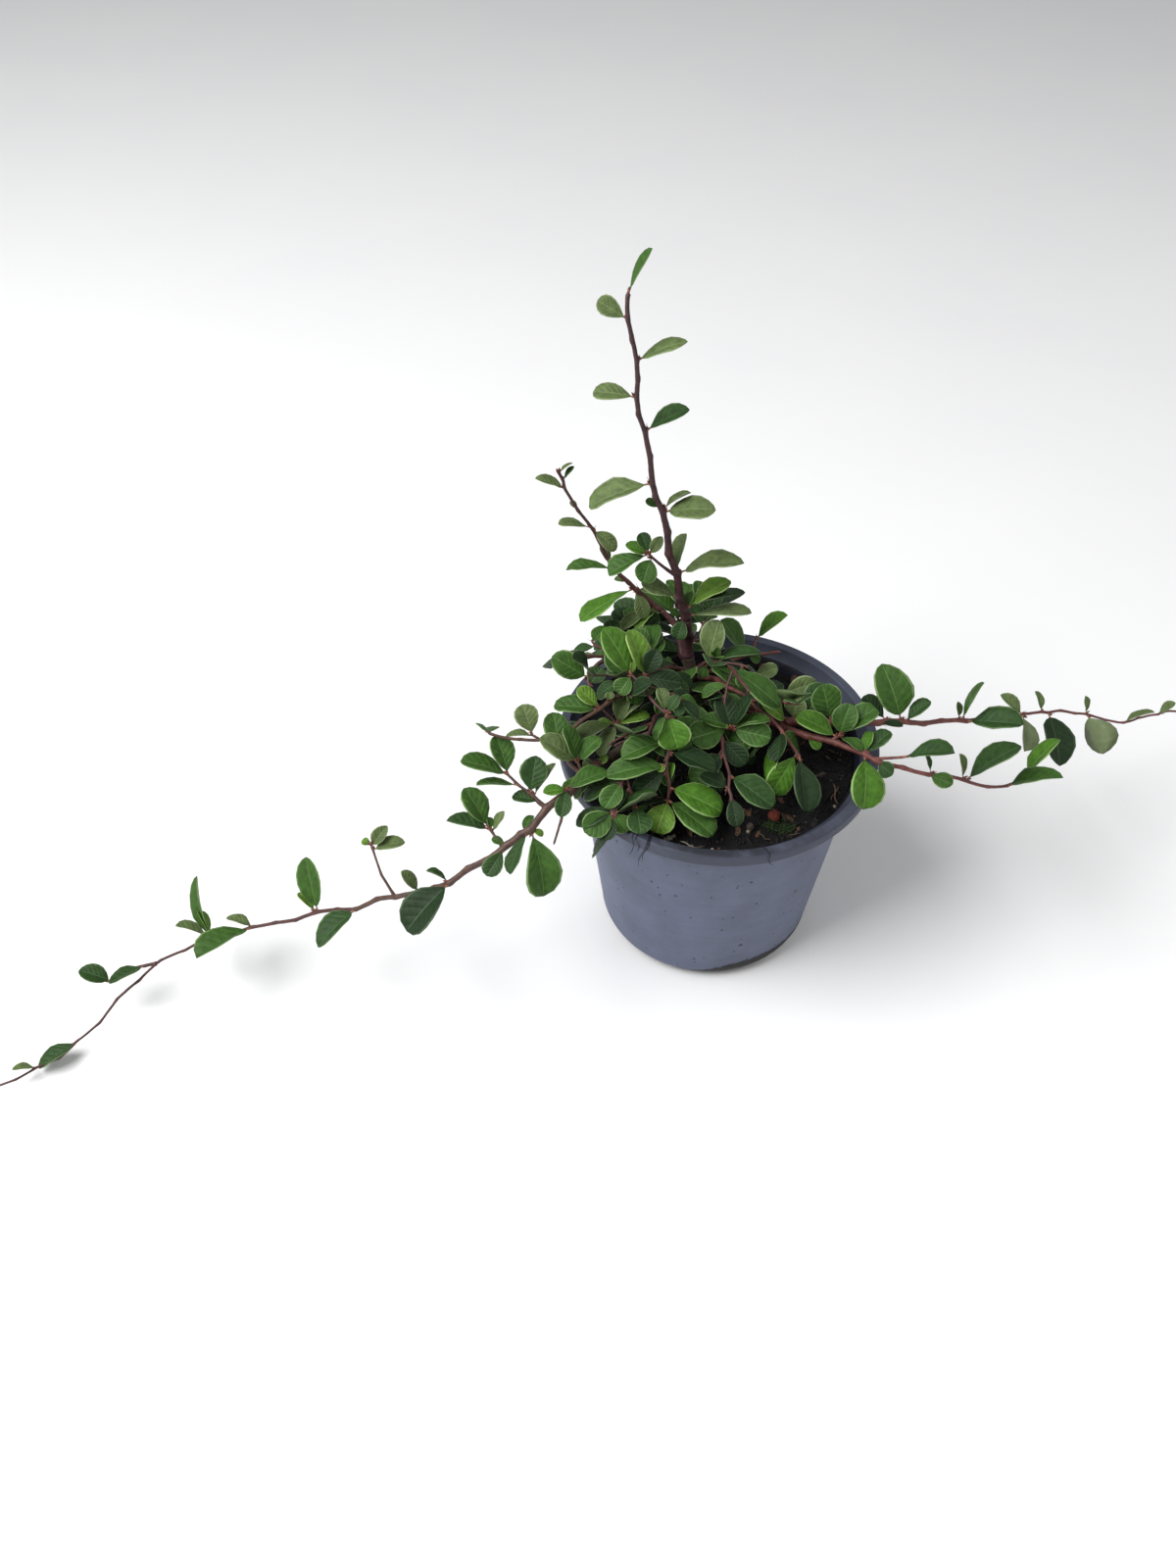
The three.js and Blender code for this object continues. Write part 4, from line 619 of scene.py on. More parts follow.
# %% [markdown]
# ## The rule of growth
# A shoot heads along its course and sets leaves at its nodes, to the left and to the right in turn. Each leaf
# is tilted a little by the roll of a dice, and takes the first of four tilts at which it touches nothing. The
# dice is a short formula, so it falls the same on every run, and the fine leaves below land where the plain
# solids have theirs. Light has its say too: a leaf by dice that would shade a leaf of the table, or one of the
# spots that are open to the light, isn't grown. A mesh could be scattered over a shape instead, but then leaves
# would cut through stems.


# %% Dice
class Dice:
    """Repeatable dice: the state is multiplied by FACTOR and divided by MODULUS, and the rest is kept."""

    FACTOR, MODULUS = 48271, 2**31 - 1

    def __init__(self, seed):
        self.state = (seed * 7919 + 13) % self.MODULUS
        for _ in range(3):
            self.roll()

    def roll(self):
        """A number between 0 and 1: the state as a share of MODULUS."""
        self.state = (self.state * self.FACTOR) % self.MODULUS
        return self.state / self.MODULUS

    def near(self, reach):
        """A number between -reach and reach."""
        return (2 * self.roll() - 1) * reach


# %% Vectors and courses
def unit(vector):
    """Each vector divided by its own length."""
    return vector / np.linalg.norm(vector, axis=-1, keepdims=True)


def mix(a, b, t):
    """The way from a to b by a share t."""
    return a + (b - a) * t


def heading(turn, rise):
    """Unit vector with a turn about Z and a rise above level, in degrees."""
    a, p = math.radians(turn), math.radians(rise)
    return np.array([math.cos(p) * math.cos(a), math.cos(p) * math.sin(a), math.sin(p)])


def course_at(course, fraction):
    """Turn and rise at a fraction of a course, whose headings are spread evenly."""
    x = min(max(fraction, 0), 0.999999) * (len(course) - 1)
    i = math.floor(x)
    return [mix(course[i][k], course[i + 1][k], x - i) for k in (0, 1)]


def centre_line(start, course, length):
    """Points (n, 3) at even steps from the start, each step along the heading of its middle."""
    count = max(2, math.floor(length / STEP + 0.5))
    points = [start]
    for i in range(count):
        points.append(points[-1] + heading(*course_at(course, (i + 0.5) / count)) * (length / count))
    return np.array(points)


def point_at(line, distance):
    """Point and direction on a centre line at a distance from its start."""
    last = len(line) - 1
    x = min(max(distance / np.linalg.norm(line[1] - line[0]), 0), last - 1e-6)
    i = math.floor(x)
    return mix(line[i], line[i + 1], x - i), unit(line[i + 1] - line[i])


# %% Plain solids, to test what touches
def tube_faces(rings, sides):
    """Triangles of a tube of rings: each quad cut in two, and both ends closed by a fan from their first
    corner."""
    quads = grid(rings, sides, closed=True)
    k = np.arange(1, sides - 1)
    zero, top = np.zeros_like(k), (rings - 1) * sides
    ends = [np.stack([zero, k + 1, k], -1), np.stack([zero + top, top + k, top + k + 1], -1)]
    return np.concatenate([quads[:, [0, 1, 2]], quads[:, [0, 2, 3]], *ends])


def plain_tube(rings, sides):
    """Triangles of a tube through rings of (point, direction, radius), closed by flat ends, as (corners,
    faces)."""
    corners, across = [], None
    angles = round_steps(sides)
    for point, along, radius in rings:
        if across is None:
            helper = np.array([0.0, 1, 0]) if abs(along[2]) > 0.8 else np.array([0.0, 0, 1])
            across = unit(np.cross(helper, along))
        across = unit(across - along * (across @ along))
        up = np.cross(along, across)
        corners.append(point + radius * (np.cos(angles)[:, None] * across + np.sin(angles)[:, None] * up))
    return np.concatenate(corners), tube_faces(len(rings), sides)


LIMB_STEP, TWIG_STEP = 8, 11


def plain_limb(shoot, start, end, sides, extra=0.0):
    """Plain tube of a shoot between two distances; its radius tapers evenly from foot to tip."""
    count = max(2, math.ceil((end - start) / (LIMB_STEP if sides > 3 else TWIG_STEP)))
    rings = []
    for i in range(count + 1):
        s = mix(start, end, i / count)
        radius = mix(shoot["radius"][0], shoot["radius"][1], s / shoot["length"]) + extra
        rings.append((*point_at(shoot["line"], s), radius))
    return plain_tube(rings, sides)


LEAF_ROOT = 0.45


def plain_leaf(leaf, extra=0.0):
    """Seven corners round a leaf and one above and below its middle, folded by LEAF_FOLD and curled by
    LEAF_CURL."""
    side = np.cross(leaf["along"], leaf["face"])
    length = leaf["length"] + extra
    half = leaf["length"] * leaf["wide"] / 2 + extra
    root = (LEAF_ROOT + extra) / half
    thick = LEAF_THICK / 2 + extra
    spots = [[0, root, 0], [0.4, 0.9, 0], [0.76, 0.86, 0], [1, 0, 0], [0.76, -0.86, 0], [0.4, -0.9, 0]]
    spots = np.array(spots + [[0, -root, 0], [0.56, 0, thick], [0.56, 0, -thick]])
    rise = np.abs(spots[:, 1]) * half * LEAF_FOLD * 2 - LEAF_CURL * length * spots[:, 0] ** 2 + spots[:, 2]
    corners = leaf["root"] + np.outer(length * spots[:, 0], leaf["along"]) + np.outer(half * spots[:, 1], side)
    corners = corners + np.outer(rise, leaf["face"])
    k = np.arange(7)
    after = (k + 1) % 7
    faces = [np.stack([k * 0 + 7, k, after], -1), np.stack([k * 0 + 8, after, k], -1)]
    return corners, np.concatenate(faces)


# %% What touches what
def pierced(edges, faces):
    """True where an edge from a to b passes through a triangle p, q, r: both weights and the share lie in
    0..1."""
    a, b = edges[:, None, 0], edges[:, None, 1]
    p, q, r = faces[None, :, 0], faces[None, :, 1], faces[None, :, 2]
    ab, pq, pr = b - a, q - p, r - p
    h = np.cross(ab, pr)
    det = (pq * h).sum(-1)
    real = np.abs(det) >= 1e-9
    det = np.where(real, det, 1.0)
    s = a - p
    u = (s * h).sum(-1) / det
    k = np.cross(s, pq)
    v = (ab * k).sum(-1) / det
    t = (pr * k).sum(-1) / det
    return bool((real & (u >= 0) & (u <= 1) & (v >= 0) & (u + v <= 1) & (t >= 0) & (t <= 1)).any())


def corner_pairs(faces):
    """Both corner numbers of the three sides of every triangle."""
    return np.concatenate([faces[:, [0, 1]], faces[:, [1, 2]], faces[:, [2, 0]]])


def edges_of(corners, faces):
    """Both ends (n, 2, 3) of every edge of a solid, once each."""
    pairs = corner_pairs(faces)
    return corners[pairs[pairs[:, 0] < pairs[:, 1]]]


EDGE_SPOTS = 6


def off_the_pot(corners, faces):
    """True where spots along every edge stay above the soil and the ground, and off the rim."""
    pairs = corner_pairs(faces)
    shares = np.arange(EDGE_SPOTS)[:, None, None] / EDGE_SPOTS
    spots = (corners[pairs[:, 0]] + (corners[pairs[:, 1]] - corners[pairs[:, 0]]) * shares).reshape(-1, 3)
    reach, height = np.hypot(spots[:, 0], spots[:, 1]), spots[:, 2]
    within = reach < RIM_RADIUS + 1
    in_soil = (height < SOIL_TOP + SOIL_LUMP + CLEAR) & within
    in_rim = (height < POT_HEIGHT + CLEAR) & (reach > RIM_INNER_RADIUS - 1.5) & within
    return not ((height < GROUND_CLEAR) | in_soil | in_rim).any()


class Space:
    """Solids already placed, with the part and the shoot that each belongs to, and the root of each leaf."""

    def __init__(self):
        self.solids, self.lows, self.highs, self.parts, self.shoots, self.roots = [], [], [], [], [], []

    def place(self, part, solid, shoot, root=None):
        """Adds a solid (corners, faces) with its box, its part, its shoot and its root."""
        corners, faces = solid
        self.solids.append((edges_of(corners, faces), corners[faces]))
        self.lows.append(corners.min(0))
        self.highs.append(corners.max(0))
        self.parts.append(part)
        self.shoots.append(id(shoot))
        self.roots.append(np.full(3, np.nan) if root is None else root)

    def clear(self, solid, matters):
        """True where a solid touches none of those placed for which matters gives true."""
        corners, faces = solid
        near = (np.array(self.lows) <= corners.max(0)).all(1) & (np.array(self.highs) >= corners.min(0)).all(1)
        near &= matters
        if not near.any():
            return True
        met = [self.solids[i] for i in np.flatnonzero(near)]
        other_edges = np.concatenate([edges for edges, _ in met])
        other_faces = np.concatenate([triangles for _, triangles in met])
        return not (pierced(edges_of(corners, faces), other_faces) or pierced(other_edges, corners[faces]))

    def other_parts(self, part):
        """Which solids are of another part: a leaf keeps its distance from those."""
        return np.array([name != part for name in self.parts])

    def other_shoots(self, part, shoot, root):
        """Which solids a leaf may not cross: those of other shoots of its part, and all that aren't at its
        node."""
        same = np.array([name == part for name in self.parts])
        other = np.array([number != id(shoot) for number in self.shoots])
        apart = np.linalg.norm(np.array(self.roots) - root, axis=1) > SAME_NODE
        return same & other | apart


# %% Stems first: centre lines, stubs and parts
# A mass of the mound is one part all along; only the long shoots have parts of their own
for shoot in SHOOTS:
    shoot.setdefault("parts", [[shoot["length"], "mound_" + shoot["name"]]])
# The highest shoots leave the stump a little below its top
TOP_SHOOT = 0.96
# A stem at least this thick gets eight sides, a thinner one six, and a twig three
THICK_STEM = 1.65
space = Space()
by_name = {}
for shoot in SHOOTS:
    if "on" in shoot:
        start = point_at(by_name[shoot["on"]]["line"], shoot["at"])[0]
    else:
        start = STUMP_FOOT + STUMP_LEAN * shoot["height"] * TOP_SHOOT
    shoot["line"] = centre_line(start, shoot["course"], shoot["length"])
    by_name[shoot["name"]] = shoot


def part_at(shoot, distance):
    """Name of the part that a shoot has at a distance; a twig belongs to one part all along."""
    if "parts" not in shoot:
        return shoot["pieces"][-1][2]
    return next(name for end, name in shoot["parts"] if distance <= end + 1e-6)


BUTTRESS = 0.14


def buttress(t, a):
    """How much wider the stump is than its rings: a wave of four round the stem, which fades out upwards."""
    return 1 + BUTTRESS * (1 - t) * np.cos(4 * a + 0.6)


def stump_middle(t):
    """Middle of the stump at a share of its height, on a line that leans more the higher it is."""
    return STUMP_FOOT + STUMP_LEAN * (t * t * 0.3 + t * 0.7)


def plain_stump():
    """Level rings up a leaning line, the lowest spread into buttresses by a wave of four round the stem."""
    t = np.linspace(0, 1, len(STUMP_RADII))[:, None, None]
    a = round_steps(STUMP_SIDES)[None, :, None]
    reach = np.array(STUMP_RADII)[:, None, None] * buttress(t, a)
    corners = stump_middle(t) + reach * np.concatenate([np.cos(a), np.sin(a), a * 0], axis=-1)
    return corners.reshape(-1, 3), tube_faces(len(STUMP_RADII), STUMP_SIDES)


space.place("trunk", plain_stump(), None)
for shoot in SHOOTS:
    stub = shoot.get("stub", STUB)
    carrier = part_at(by_name[shoot["on"]], shoot["at"]) if "on" in shoot else "trunk"
    sides = 8 if shoot["radius"][0] > THICK_STEM else 6
    space.place(carrier, plain_limb(shoot, 0, stub - GAP / 2, sides), shoot)
    start = stub + GAP / 2
    shoot["pieces"] = [(0.0, stub, carrier)]
    for end, name in shoot["parts"]:
        stop = end if end == shoot["length"] else end - GAP / 2
        space.place(name, plain_limb(shoot, start, stop, 8 if name.startswith("bough") else 3), shoot)
        shoot["pieces"].append((shoot["pieces"][-1][1], float(end), name))
        start = end + GAP / 2
print("stems placed:", len(space.solids))


# %% Leaves of a shoot
# Leaves shorter than this are small ones
SMALL_LEAF = 11


def set_leaf(shoot, number):
    """Leaf from its row of the table: its face looks at the sky, and is then rolled about the leaf's length."""
    distance, turn, rise, roll, length, *wide = shoot["set"][number]
    along, a = heading(turn, rise), math.radians(roll)
    face = unit(np.array([0.0, 0, 1]) - along * along[2])
    face = face * math.cos(a) + np.cross(along, face) * math.sin(a)
    return {
        "root": point_at(shoot["line"], distance)[0], "along": along, "face": face, "length": length,
        "wide": wide[0] if wide else SET_WIDE, "distance": distance, "shoot": shoot,
        "small": length < SMALL_LEAF, "shade": shoot["shades"][number],
    }


# Degrees between a leaf and its shoot, and above it, and how far the dice may change each
LEAF_AWAY, AWAY_SPREAD = 58, 14
LEAF_LIFT, LIFT_SPREAD = 18, 16
# Length and width of a small leaf as shares of a full one
SMALL_LENGTH, SMALL_WIDE = 0.58, 0.88


def leaf_at(shoot, distance, mark, dice):
    """Leaf by dice: its direction is spread from the shoot's own and lifted, and its face looks at the sky."""
    point, along = point_at(shoot["line"], distance)
    right = unit(np.cross(along, np.array([0.0, 0, 1])))
    up = np.cross(right, along)
    small, kind = mark != mark.upper(), mark.upper()
    away = math.radians(LEAF_AWAY + dice.near(AWAY_SPREAD))
    lift = math.radians(shoot.get("lift", LEAF_LIFT) + dice.near(LIFT_SPREAD))
    drift = dice.near(0.3)
    if kind == "T":
        way = along + right * drift + up * 0.15
    else:
        side = 1 if kind == "R" else -1
        way = along * math.cos(away) + right * side * math.sin(away)
        way = way * math.cos(lift) + up * math.sin(lift)
    way = unit(way)
    sky = np.array([dice.near(0.28), dice.near(0.28), 1.0])
    face = unit(sky - way * (sky @ way))
    size = mix(*shoot["leaf"], (distance - shoot["bare"]) / (shoot["length"] - shoot["bare"]))
    return {
        "root": point, "along": way, "face": face,
        "length": size * (SMALL_LENGTH if small else 1) * (1 + dice.near(0.14)),
        "wide": LEAF_WIDE * (SMALL_WIDE if small else 1) * (1 + dice.near(0.12)),
        "distance": distance, "shoot": shoot, "small": small, "shade": None,
    }


def swung(leaf, degrees):
    """The leaf swung up or down about its root."""
    cos, sin = math.cos(math.radians(degrees)), math.sin(math.radians(degrees))
    along, face = leaf["along"], leaf["face"]
    return {**leaf, "along": along * cos + face * sin, "face": face * cos - along * sin}


# %% What a leaf may shade, and where it settles
leaves, stems, lit_spots = [], list(SHOOTS), [np.array(OPEN_SPOTS, float)]


def stands_in_light(corners, faces):
    """True where a leaf crosses the line from the light to an open spot or to the middle of a set leaf.

    Only lines that pass the leaf's middle more closely than its furthest corner lies from it are tested.
    """
    spots, middle = np.concatenate(lit_spots), corners.mean(0)
    way = unit(LIGHT - spots)
    miss = np.linalg.norm(np.cross(middle - spots, way), axis=1)
    spots = spots[miss < np.linalg.norm(corners - middle, axis=1).max()]
    lines = np.stack([spots, np.broadcast_to(LIGHT, spots.shape)], 1)
    return len(spots) > 0 and pierced(lines, corners[faces])


# Corners of a plain leaf that a set leaf keeps lit, drawn in towards its middle, which is corner 7
LIT_CORNERS, LIT_REACH = [7, 1, 2, 3, 4, 5], 0.7


def settle(leaf, shoot, part):
    """Gives a leaf the first of the tilts of LIFTS that keeps clear, or leaves it out. A leaf by dice keeps out
    of the light of others as well, and a set leaf adds six spots of its middle to those that stay lit."""
    others, shoots = space.other_parts(part), space.other_shoots(part, shoot, leaf["root"])
    for degrees in LIFTS:
        turned = swung(leaf, degrees)
        fat, thin = plain_leaf(turned, CLEAR), plain_leaf(turned)
        if leaf["shade"] is None and stands_in_light(*thin):
            continue
        if off_the_pot(*fat) and space.clear(fat, others) and space.clear(thin, shoots):
            space.place(part, thin, shoot, leaf["root"])
            leaves.append({**turned, "part": part})
            if leaf["shade"] is not None:
                corners = thin[0]
                lit_spots.append(corners[7] + (corners[LIT_CORNERS] - corners[7]) * LIT_REACH)
            return


def leaf_out(shoot, dice):
    """Leaves that a shoot grows by its dice, at even stations along it.

    Each station has letters, and a dot for none: L left, R right, T at the tip, and small ones for small
    leaves.
    """
    stations = shoot["leaves"].split(" ")
    for i, marks in enumerate(stations):
        distance = mix(shoot["bare"], shoot["length"], i / max(1, len(stations) - 1))
        for mark in marks.replace(".", ""):
            leaf = leaf_at(shoot, min(distance, shoot["length"] - 0.6), mark, dice)
            settle(leaf, shoot, part_at(shoot, distance))


# %% Twigs of a shoot
def side_twig(side, shoot):
    """Grows a small shoot on another; False where it would leave its space, and then it is left out."""
    part, length = part_at(shoot, side["at"]), side["length"]
    side["line"] = centre_line(point_at(shoot["line"], side["at"])[0], side["course"], length)
    side["parent"] = shoot
    side["pieces"] = [(0.0, float(length), part)]
    fat, free = plain_limb(side, 0, length, 3, CLEAR), plain_limb(side, 3, length, 3, CLEAR)
    if not space.clear(fat, space.other_parts(part)) or not off_the_pot(*free):
        return False
    space.place(part, plain_limb(side, 0, length, 3), side)
    stems.append(side)
    return True


def twigs_of(shoot, dice):
    """Twigs that a shoot sends out by its dice, left and right in turn."""
    number, length, turn = shoot.get("twigs", [0, 0, 0])
    first = -1 if dice.roll() < 0.5 else 1
    twigs = []
    for i in range(number):
        at = mix(shoot["bare"], shoot["length"] * 0.86, (i + 0.5) / number)
        side = first if i % 2 == 0 else -first
        turn_here, rise_here = course_at(shoot["course"], at / shoot["length"])
        away = turn_here + side * (turn + dice.near(12))
        rise = rise_here + 8 + dice.near(10)
        size = mix(*shoot["leaf"], 0.5)
        twigs.append({
            "at": at, "length": length * (1 + dice.near(0.18)), "radius": [0.7, 0.45], "bare": 7,
            "leaf": [size, size], "course": [[away, rise], [away - side * 14, rise - 16]], "leaves": "LR L R LRT",
        })
    return twigs


# %% Grow the plant of the solids again
for shoot in SHOOTS:
    for side in shoot.get("sides", []):
        side_twig(side, shoot)
for stem in list(stems):
    for number, row in enumerate(stem.get("set", [])):
        settle(set_leaf(stem, number), stem, part_at(stem, row[0]))
print("set leaves:", len(leaves), "set twigs:", len(stems) - len(SHOOTS))
for shoot in SHOOTS:
    if "leaves" in shoot:
        dice = Dice(shoot["seed"])
        leaf_out(shoot, dice)
        for side in twigs_of(shoot, dice):
            if side_twig(side, shoot):
                leaf_out(side, dice)
print("all leaves:", len(leaves), "all twigs:", len(stems) - len(SHOOTS))

# %% [markdown]
# ## Finer growth
# On the living plant many leaves have a short spur in the angle between leaf and stem, with two or three small
# fresh leaves of its own, and thin twigs fill the mound. The plain solids leave these out. They are grown here
# by the same rule, after all the others, so that each one finds the room that is left and the outline stays as
# it is.

# %% Spurs in the angles of leaves
SPUR_CHANCE = 0.2
SPUR_LENGTH = (4.5, 9.0)
SPUR_LEAF = (6.5, 10.0)


def turn_and_rise(way):
    """Turn about Z and rise above level of a direction, in degrees."""
    way = unit(way)
    return [math.degrees(math.atan2(way[1], way[0])), math.degrees(math.asin(way[2]))]


def spur_for(leaf, dice):
    """A spur that starts at a leaf's node and heads between the leaf and the stem, or a little above them."""
    along = point_at(leaf["shoot"]["line"], leaf["distance"])[1]
    way = along * 0.8 + leaf["along"] * 0.5 + leaf["face"] * (0.35 + 0.3 * dice.roll())
    length = mix(*SPUR_LENGTH, dice.roll())
    size = mix(*SPUR_LEAF, dice.roll())
    course = turn_and_rise(way)
    return {
        "at": leaf["distance"], "length": length, "radius": [0.55, 0.35], "bare": length * 0.55,
        "leaf": [size, size * 0.8], "course": [course, course], "leaves": "LR T", "spur": True, "lift": 30,
    }


for number, leaf in enumerate(list(leaves)):
    dice = Dice(900 + number)
    if dice.roll() < SPUR_CHANCE and leaf["shade"] is None and not leaf["small"]:
        spur = spur_for(leaf, dice)
        if side_twig(spur, leaf["shoot"]):
            leaf_out(spur, dice)
print("leaves with spurs:", len(leaves), "stems:", len(stems))

# %% Fill the gaps of the mound with fresh twigs
# For each shoot: how many twigs, their length, and their turn and rise from the shoot's own course in degrees
INFILL = {
    "left": [3, 17, 62, 16], "left_back": [3, 12, 62, 0], "back": [3, 17, 62, 16], "behind": [3, 17, 62, 16],
    "front_left": [4, 15, 55, -24], "front": [3, 14, 50, -26], "front_right": [3, 13, 56, -24],
    "centre": [4, 13, 60, -20], "centre_right": [3, 12, 60, -26], "right_front": [3, 12, 56, -24],
}


def infill_of(shoot, dice):
    """Twigs between those of the rule, shorter and turned further out, with smaller leaves."""
    number, length, turn, tip_up = INFILL[shoot["name"]]
    twigs = []
    for i in range(number):
        at = mix(shoot["bare"] * 0.8, shoot["length"] * 0.9, (i + 0.25) / number)
        side = 1 if i % 2 else -1
        turn_here, rise_here = course_at(shoot["course"], at / shoot["length"])
        away = turn_here + side * (turn + dice.near(16))
        rise = rise_here + tip_up + dice.near(20)
        size = 11 + dice.near(2.5)
        twigs.append({
            "at": at, "length": length * (1 + dice.near(0.25)), "radius": [0.6, 0.4], "bare": 6,
            "leaf": [size, size], "course": [[away, rise], [away - side * 14, rise - 12]], "leaves": "LR LR LRT",
            "lift": tip_up,
        })
    return twigs


for shoot in SHOOTS:
    if shoot["name"] in INFILL:
        dice = Dice(300 + shoot["seed"])
        for side in infill_of(shoot, dice):
            if side_twig(side, shoot):
                leaf_out(side, dice)

# %% A tuft on the left bough
# Three set leaves cover the bough where it leaves the mound
tuft = twig(88, 5, [[-100, 62], [-100, 62]], "mfd",
            [[4.6, 30, 10, 0, 18], [4.2, 196, 14, 0, 9], [4.4, 262, -12, 0, 11, 0.6]], [0.6, 0.4])
if side_twig(tuft, by_name["left_runner"]):
    for number in range(len(tuft["set"])):
        settle(set_leaf(tuft, number), tuft, part_at(tuft, 0))
print("leaves with infill:", len(leaves), "stems:", len(stems))

# %% [markdown]
# ## Stems
# A stem of this shrub is a thin rod that kinks a little at each node, swells where a leaf joins it, and tapers
# fast at first and slowly later. Its surface is a tube round the centre line: the angle round the stem and the
# distance along it give a radius, to which noise adds the fine ridges and knobs of the bark. A curve with a
# bevel would be quicker, but its section is the same all along, so it can't have nodes or bark.


# %% Nodes and the zigzag between them
def frame_of(stem, s):
    """Points (n, 3) on a smooth curve through the centre line, and the way, right and up there.

    Between two points of the line the curve is a Hermite blend whose slopes are those of the neighbours'
    chords.
    """
    line = stem["line"]
    slopes = np.gradient(line, axis=0)
    last = len(line) - 1
    x = np.clip(s / np.linalg.norm(line[1] - line[0]), 0, last - 1e-6)
    i = np.floor(x).astype(int)
    t = (x - i)[:, None]
    a, b, m, n = line[i], line[i + 1], slopes[i], slopes[i + 1]
    points = a * (2 * t**3 - 3 * t**2 + 1) + b * (3 * t**2 - 2 * t**3)
    points = points + m * (t**3 - 2 * t**2 + t) + n * (t**3 - t**2)
    way = unit(mix(m, n, t))
    right = unit(np.cross(way, np.array(stem.get("face", [0, 0, 1]), float)))
    return points, way, right, np.cross(right, way)


BARE_GAP = 13.0


def find_nodes(stem):
    """Distances of a stem's nodes and the side of each, 1 right or -1 left: one for the leaves of each node,
    and bare ones where the next leaf is more than BARE_GAP away."""
    own = sorted((leaf for leaf in leaves if leaf["shoot"] is stem), key=lambda leaf: leaf["distance"])
    spots, sides = [0.0], [1]
    for leaf in own + [{"distance": stem["length"]}]:
        gap = leaf["distance"] - spots[-1]
        if gap < SAME_NODE:
            continue
        bare = int(gap // BARE_GAP)
        for _ in range(bare):
            spots.append(spots[-1] + gap / (bare + 1))
            sides.append(-sides[-1])
        if "along" in leaf:
            right = frame_of(stem, np.array([leaf["distance"]]))[2][0]
            spots.append(leaf["distance"])
            sides.append(1 if leaf["along"] @ right > 0 else -1)
    return np.array(spots[1:]), np.array(sides[1:])


ZIGZAG_SHARE = 0.07
ZIGZAG_MOST = 0.9
LEAD_IN = 3
KINK_ROUND = 0.7


def lean(stem, s):
    """Sideways shift (n, 3) at distances along a stem: straight from node to node, and rounded at each by the
    mean of three places, KINK_ROUND apart."""
    s = np.atleast_1d(np.asarray(s, float))
    distances, sides = stem["nodes"]
    most = np.minimum(ZIGZAG_MOST, ZIGZAG_SHARE * np.diff(distances, prepend=0))
    spots, shifts = np.concatenate([[0, LEAD_IN], distances + LEAD_IN]), np.concatenate([[0, 0], sides * most])
    shift = sum(np.interp(s + LEAD_IN + d, spots, shifts) for d in (-KINK_ROUND, 0, KINK_ROUND)) / 3
    own = frame_of(stem, s)[2] * shift[:, None]
    return own + (lean(stem["parent"], stem["at"]) if "parent" in stem else 0)


def thickness(stem, s):
    """Radius along a stem: from foot to tip as a power of what is left of its length."""
    foot, tip = stem["radius"]
    return tip + (foot - tip) * np.clip(1 - s / stem["length"], 0, 1) ** stem.get("taper", 2)


for number, stem in enumerate(stems):
    stem["nodes"] = find_nodes(stem)
    stem["number"] = number
for leaf in leaves:
    leaf["at"] = leaf["root"] + lean(leaf["shoot"], leaf["distance"])[0]
    leaf["stem_radius"] = float(thickness(leaf["shoot"], leaf["distance"]))
    leaf["stem_way"] = frame_of(leaf["shoot"], np.array([leaf["distance"]]))[1][0]
print("leaf roots moved to their nodes:", len(leaves))

# %% Surface of a stem
RING_STEP = 0.9
NODE_SWELL, NODE_REACH = 0.3, 1.3
FOOT_SWELL, FOOT_REACH = 0.45, 1.1
BARK_RELIEF = 0.07
TIP_ROUND = 0.8


def add_stem(shape, stem, start, stop, material):
    """Tube of a stem between two distances, closed at both ends.

    Radius = taper * (1 + a bell at each node on the leaf's side + a bell at the foot) + noise of angle and
    distance, stretched along the stem. At the tip of the stem the radius falls to nothing as a quarter of a
    circle.
    """
    s = np.linspace(start, stop, max(4, math.ceil((stop - start) / RING_STEP) + 1))
    sides = 12 if stem["radius"][0] > 1.2 else 8
    angle = round_steps(sides)
    points, _, right, up = frame_of(stem, s)
    points = points + lean(stem, s)
    distances, node_sides = stem["nodes"]
    bells = np.exp(-(((s[:, None] - distances - 0.4) / NODE_REACH) ** 2))
    toward = 0.6 + 0.4 * node_sides[None, :, None] * np.cos(angle)
    swell = NODE_SWELL * (bells[:, :, None] * toward).sum(1)
    if start == 0:
        swell = swell + FOOT_SWELL * np.exp(-s / FOOT_REACH)[:, None]
    base = thickness(stem, s)[:, None]
    ring = np.stack([np.cos(angle), np.sin(angle)], -1) * 1.7
    places = np.concatenate([np.broadcast_to(ring, (len(s), sides, 2)), np.zeros((len(s), sides, 1))], -1)
    places[..., 2] = s[:, None] * 0.45 + 7.3 * stem["number"]
    relief = noise(places) + 0.6 * noise(places * [2.1, 2.1, 4.0])
    radius = base * (1 + swell) + BARK_RELIEF * relief * np.sqrt(base)
    if stop >= stem["length"]:
        radius = radius * np.sqrt(np.clip((stop + 0.05 - s) / TIP_ROUND, 0, 1))[:, None]
    tube = points[:, None] + spokes(angle, right, up) * radius[..., None]
    uv = np.stack(np.broadcast_arrays(angle[None] / (2 * np.pi), s[:, None] / 10), -1).reshape(-1, 2)
    ends = np.array([points[0], points[-1]])
    # Right and up run the other way round the stem than the grid expects, so each face is turned to look out
    quads, low, high = (faces[:, ::-1] for faces in (grid(len(s), sides, closed=True), *fans(len(s), sides)))
    shape.add(
        np.concatenate([tube.reshape(-1, 3), ends]),
        [(quads, material, True), (low, material, False), (high, material, False)],
        np.concatenate([uv, uv[:1], uv[-1:]]),
    )


# %% [markdown]
# ## Small parts of the shoots
# Stalks, buds and stipules are all slim turned shapes: a short path with a radius at each step. They are made
# many at a time: one array holds the rings of all the stalks of a piece.


# %% Slim turned shapes, many at once
def of_all(wanted, key):
    """One value of many leaves, as an array."""
    return np.array([leaf[key] for leaf in wanted])


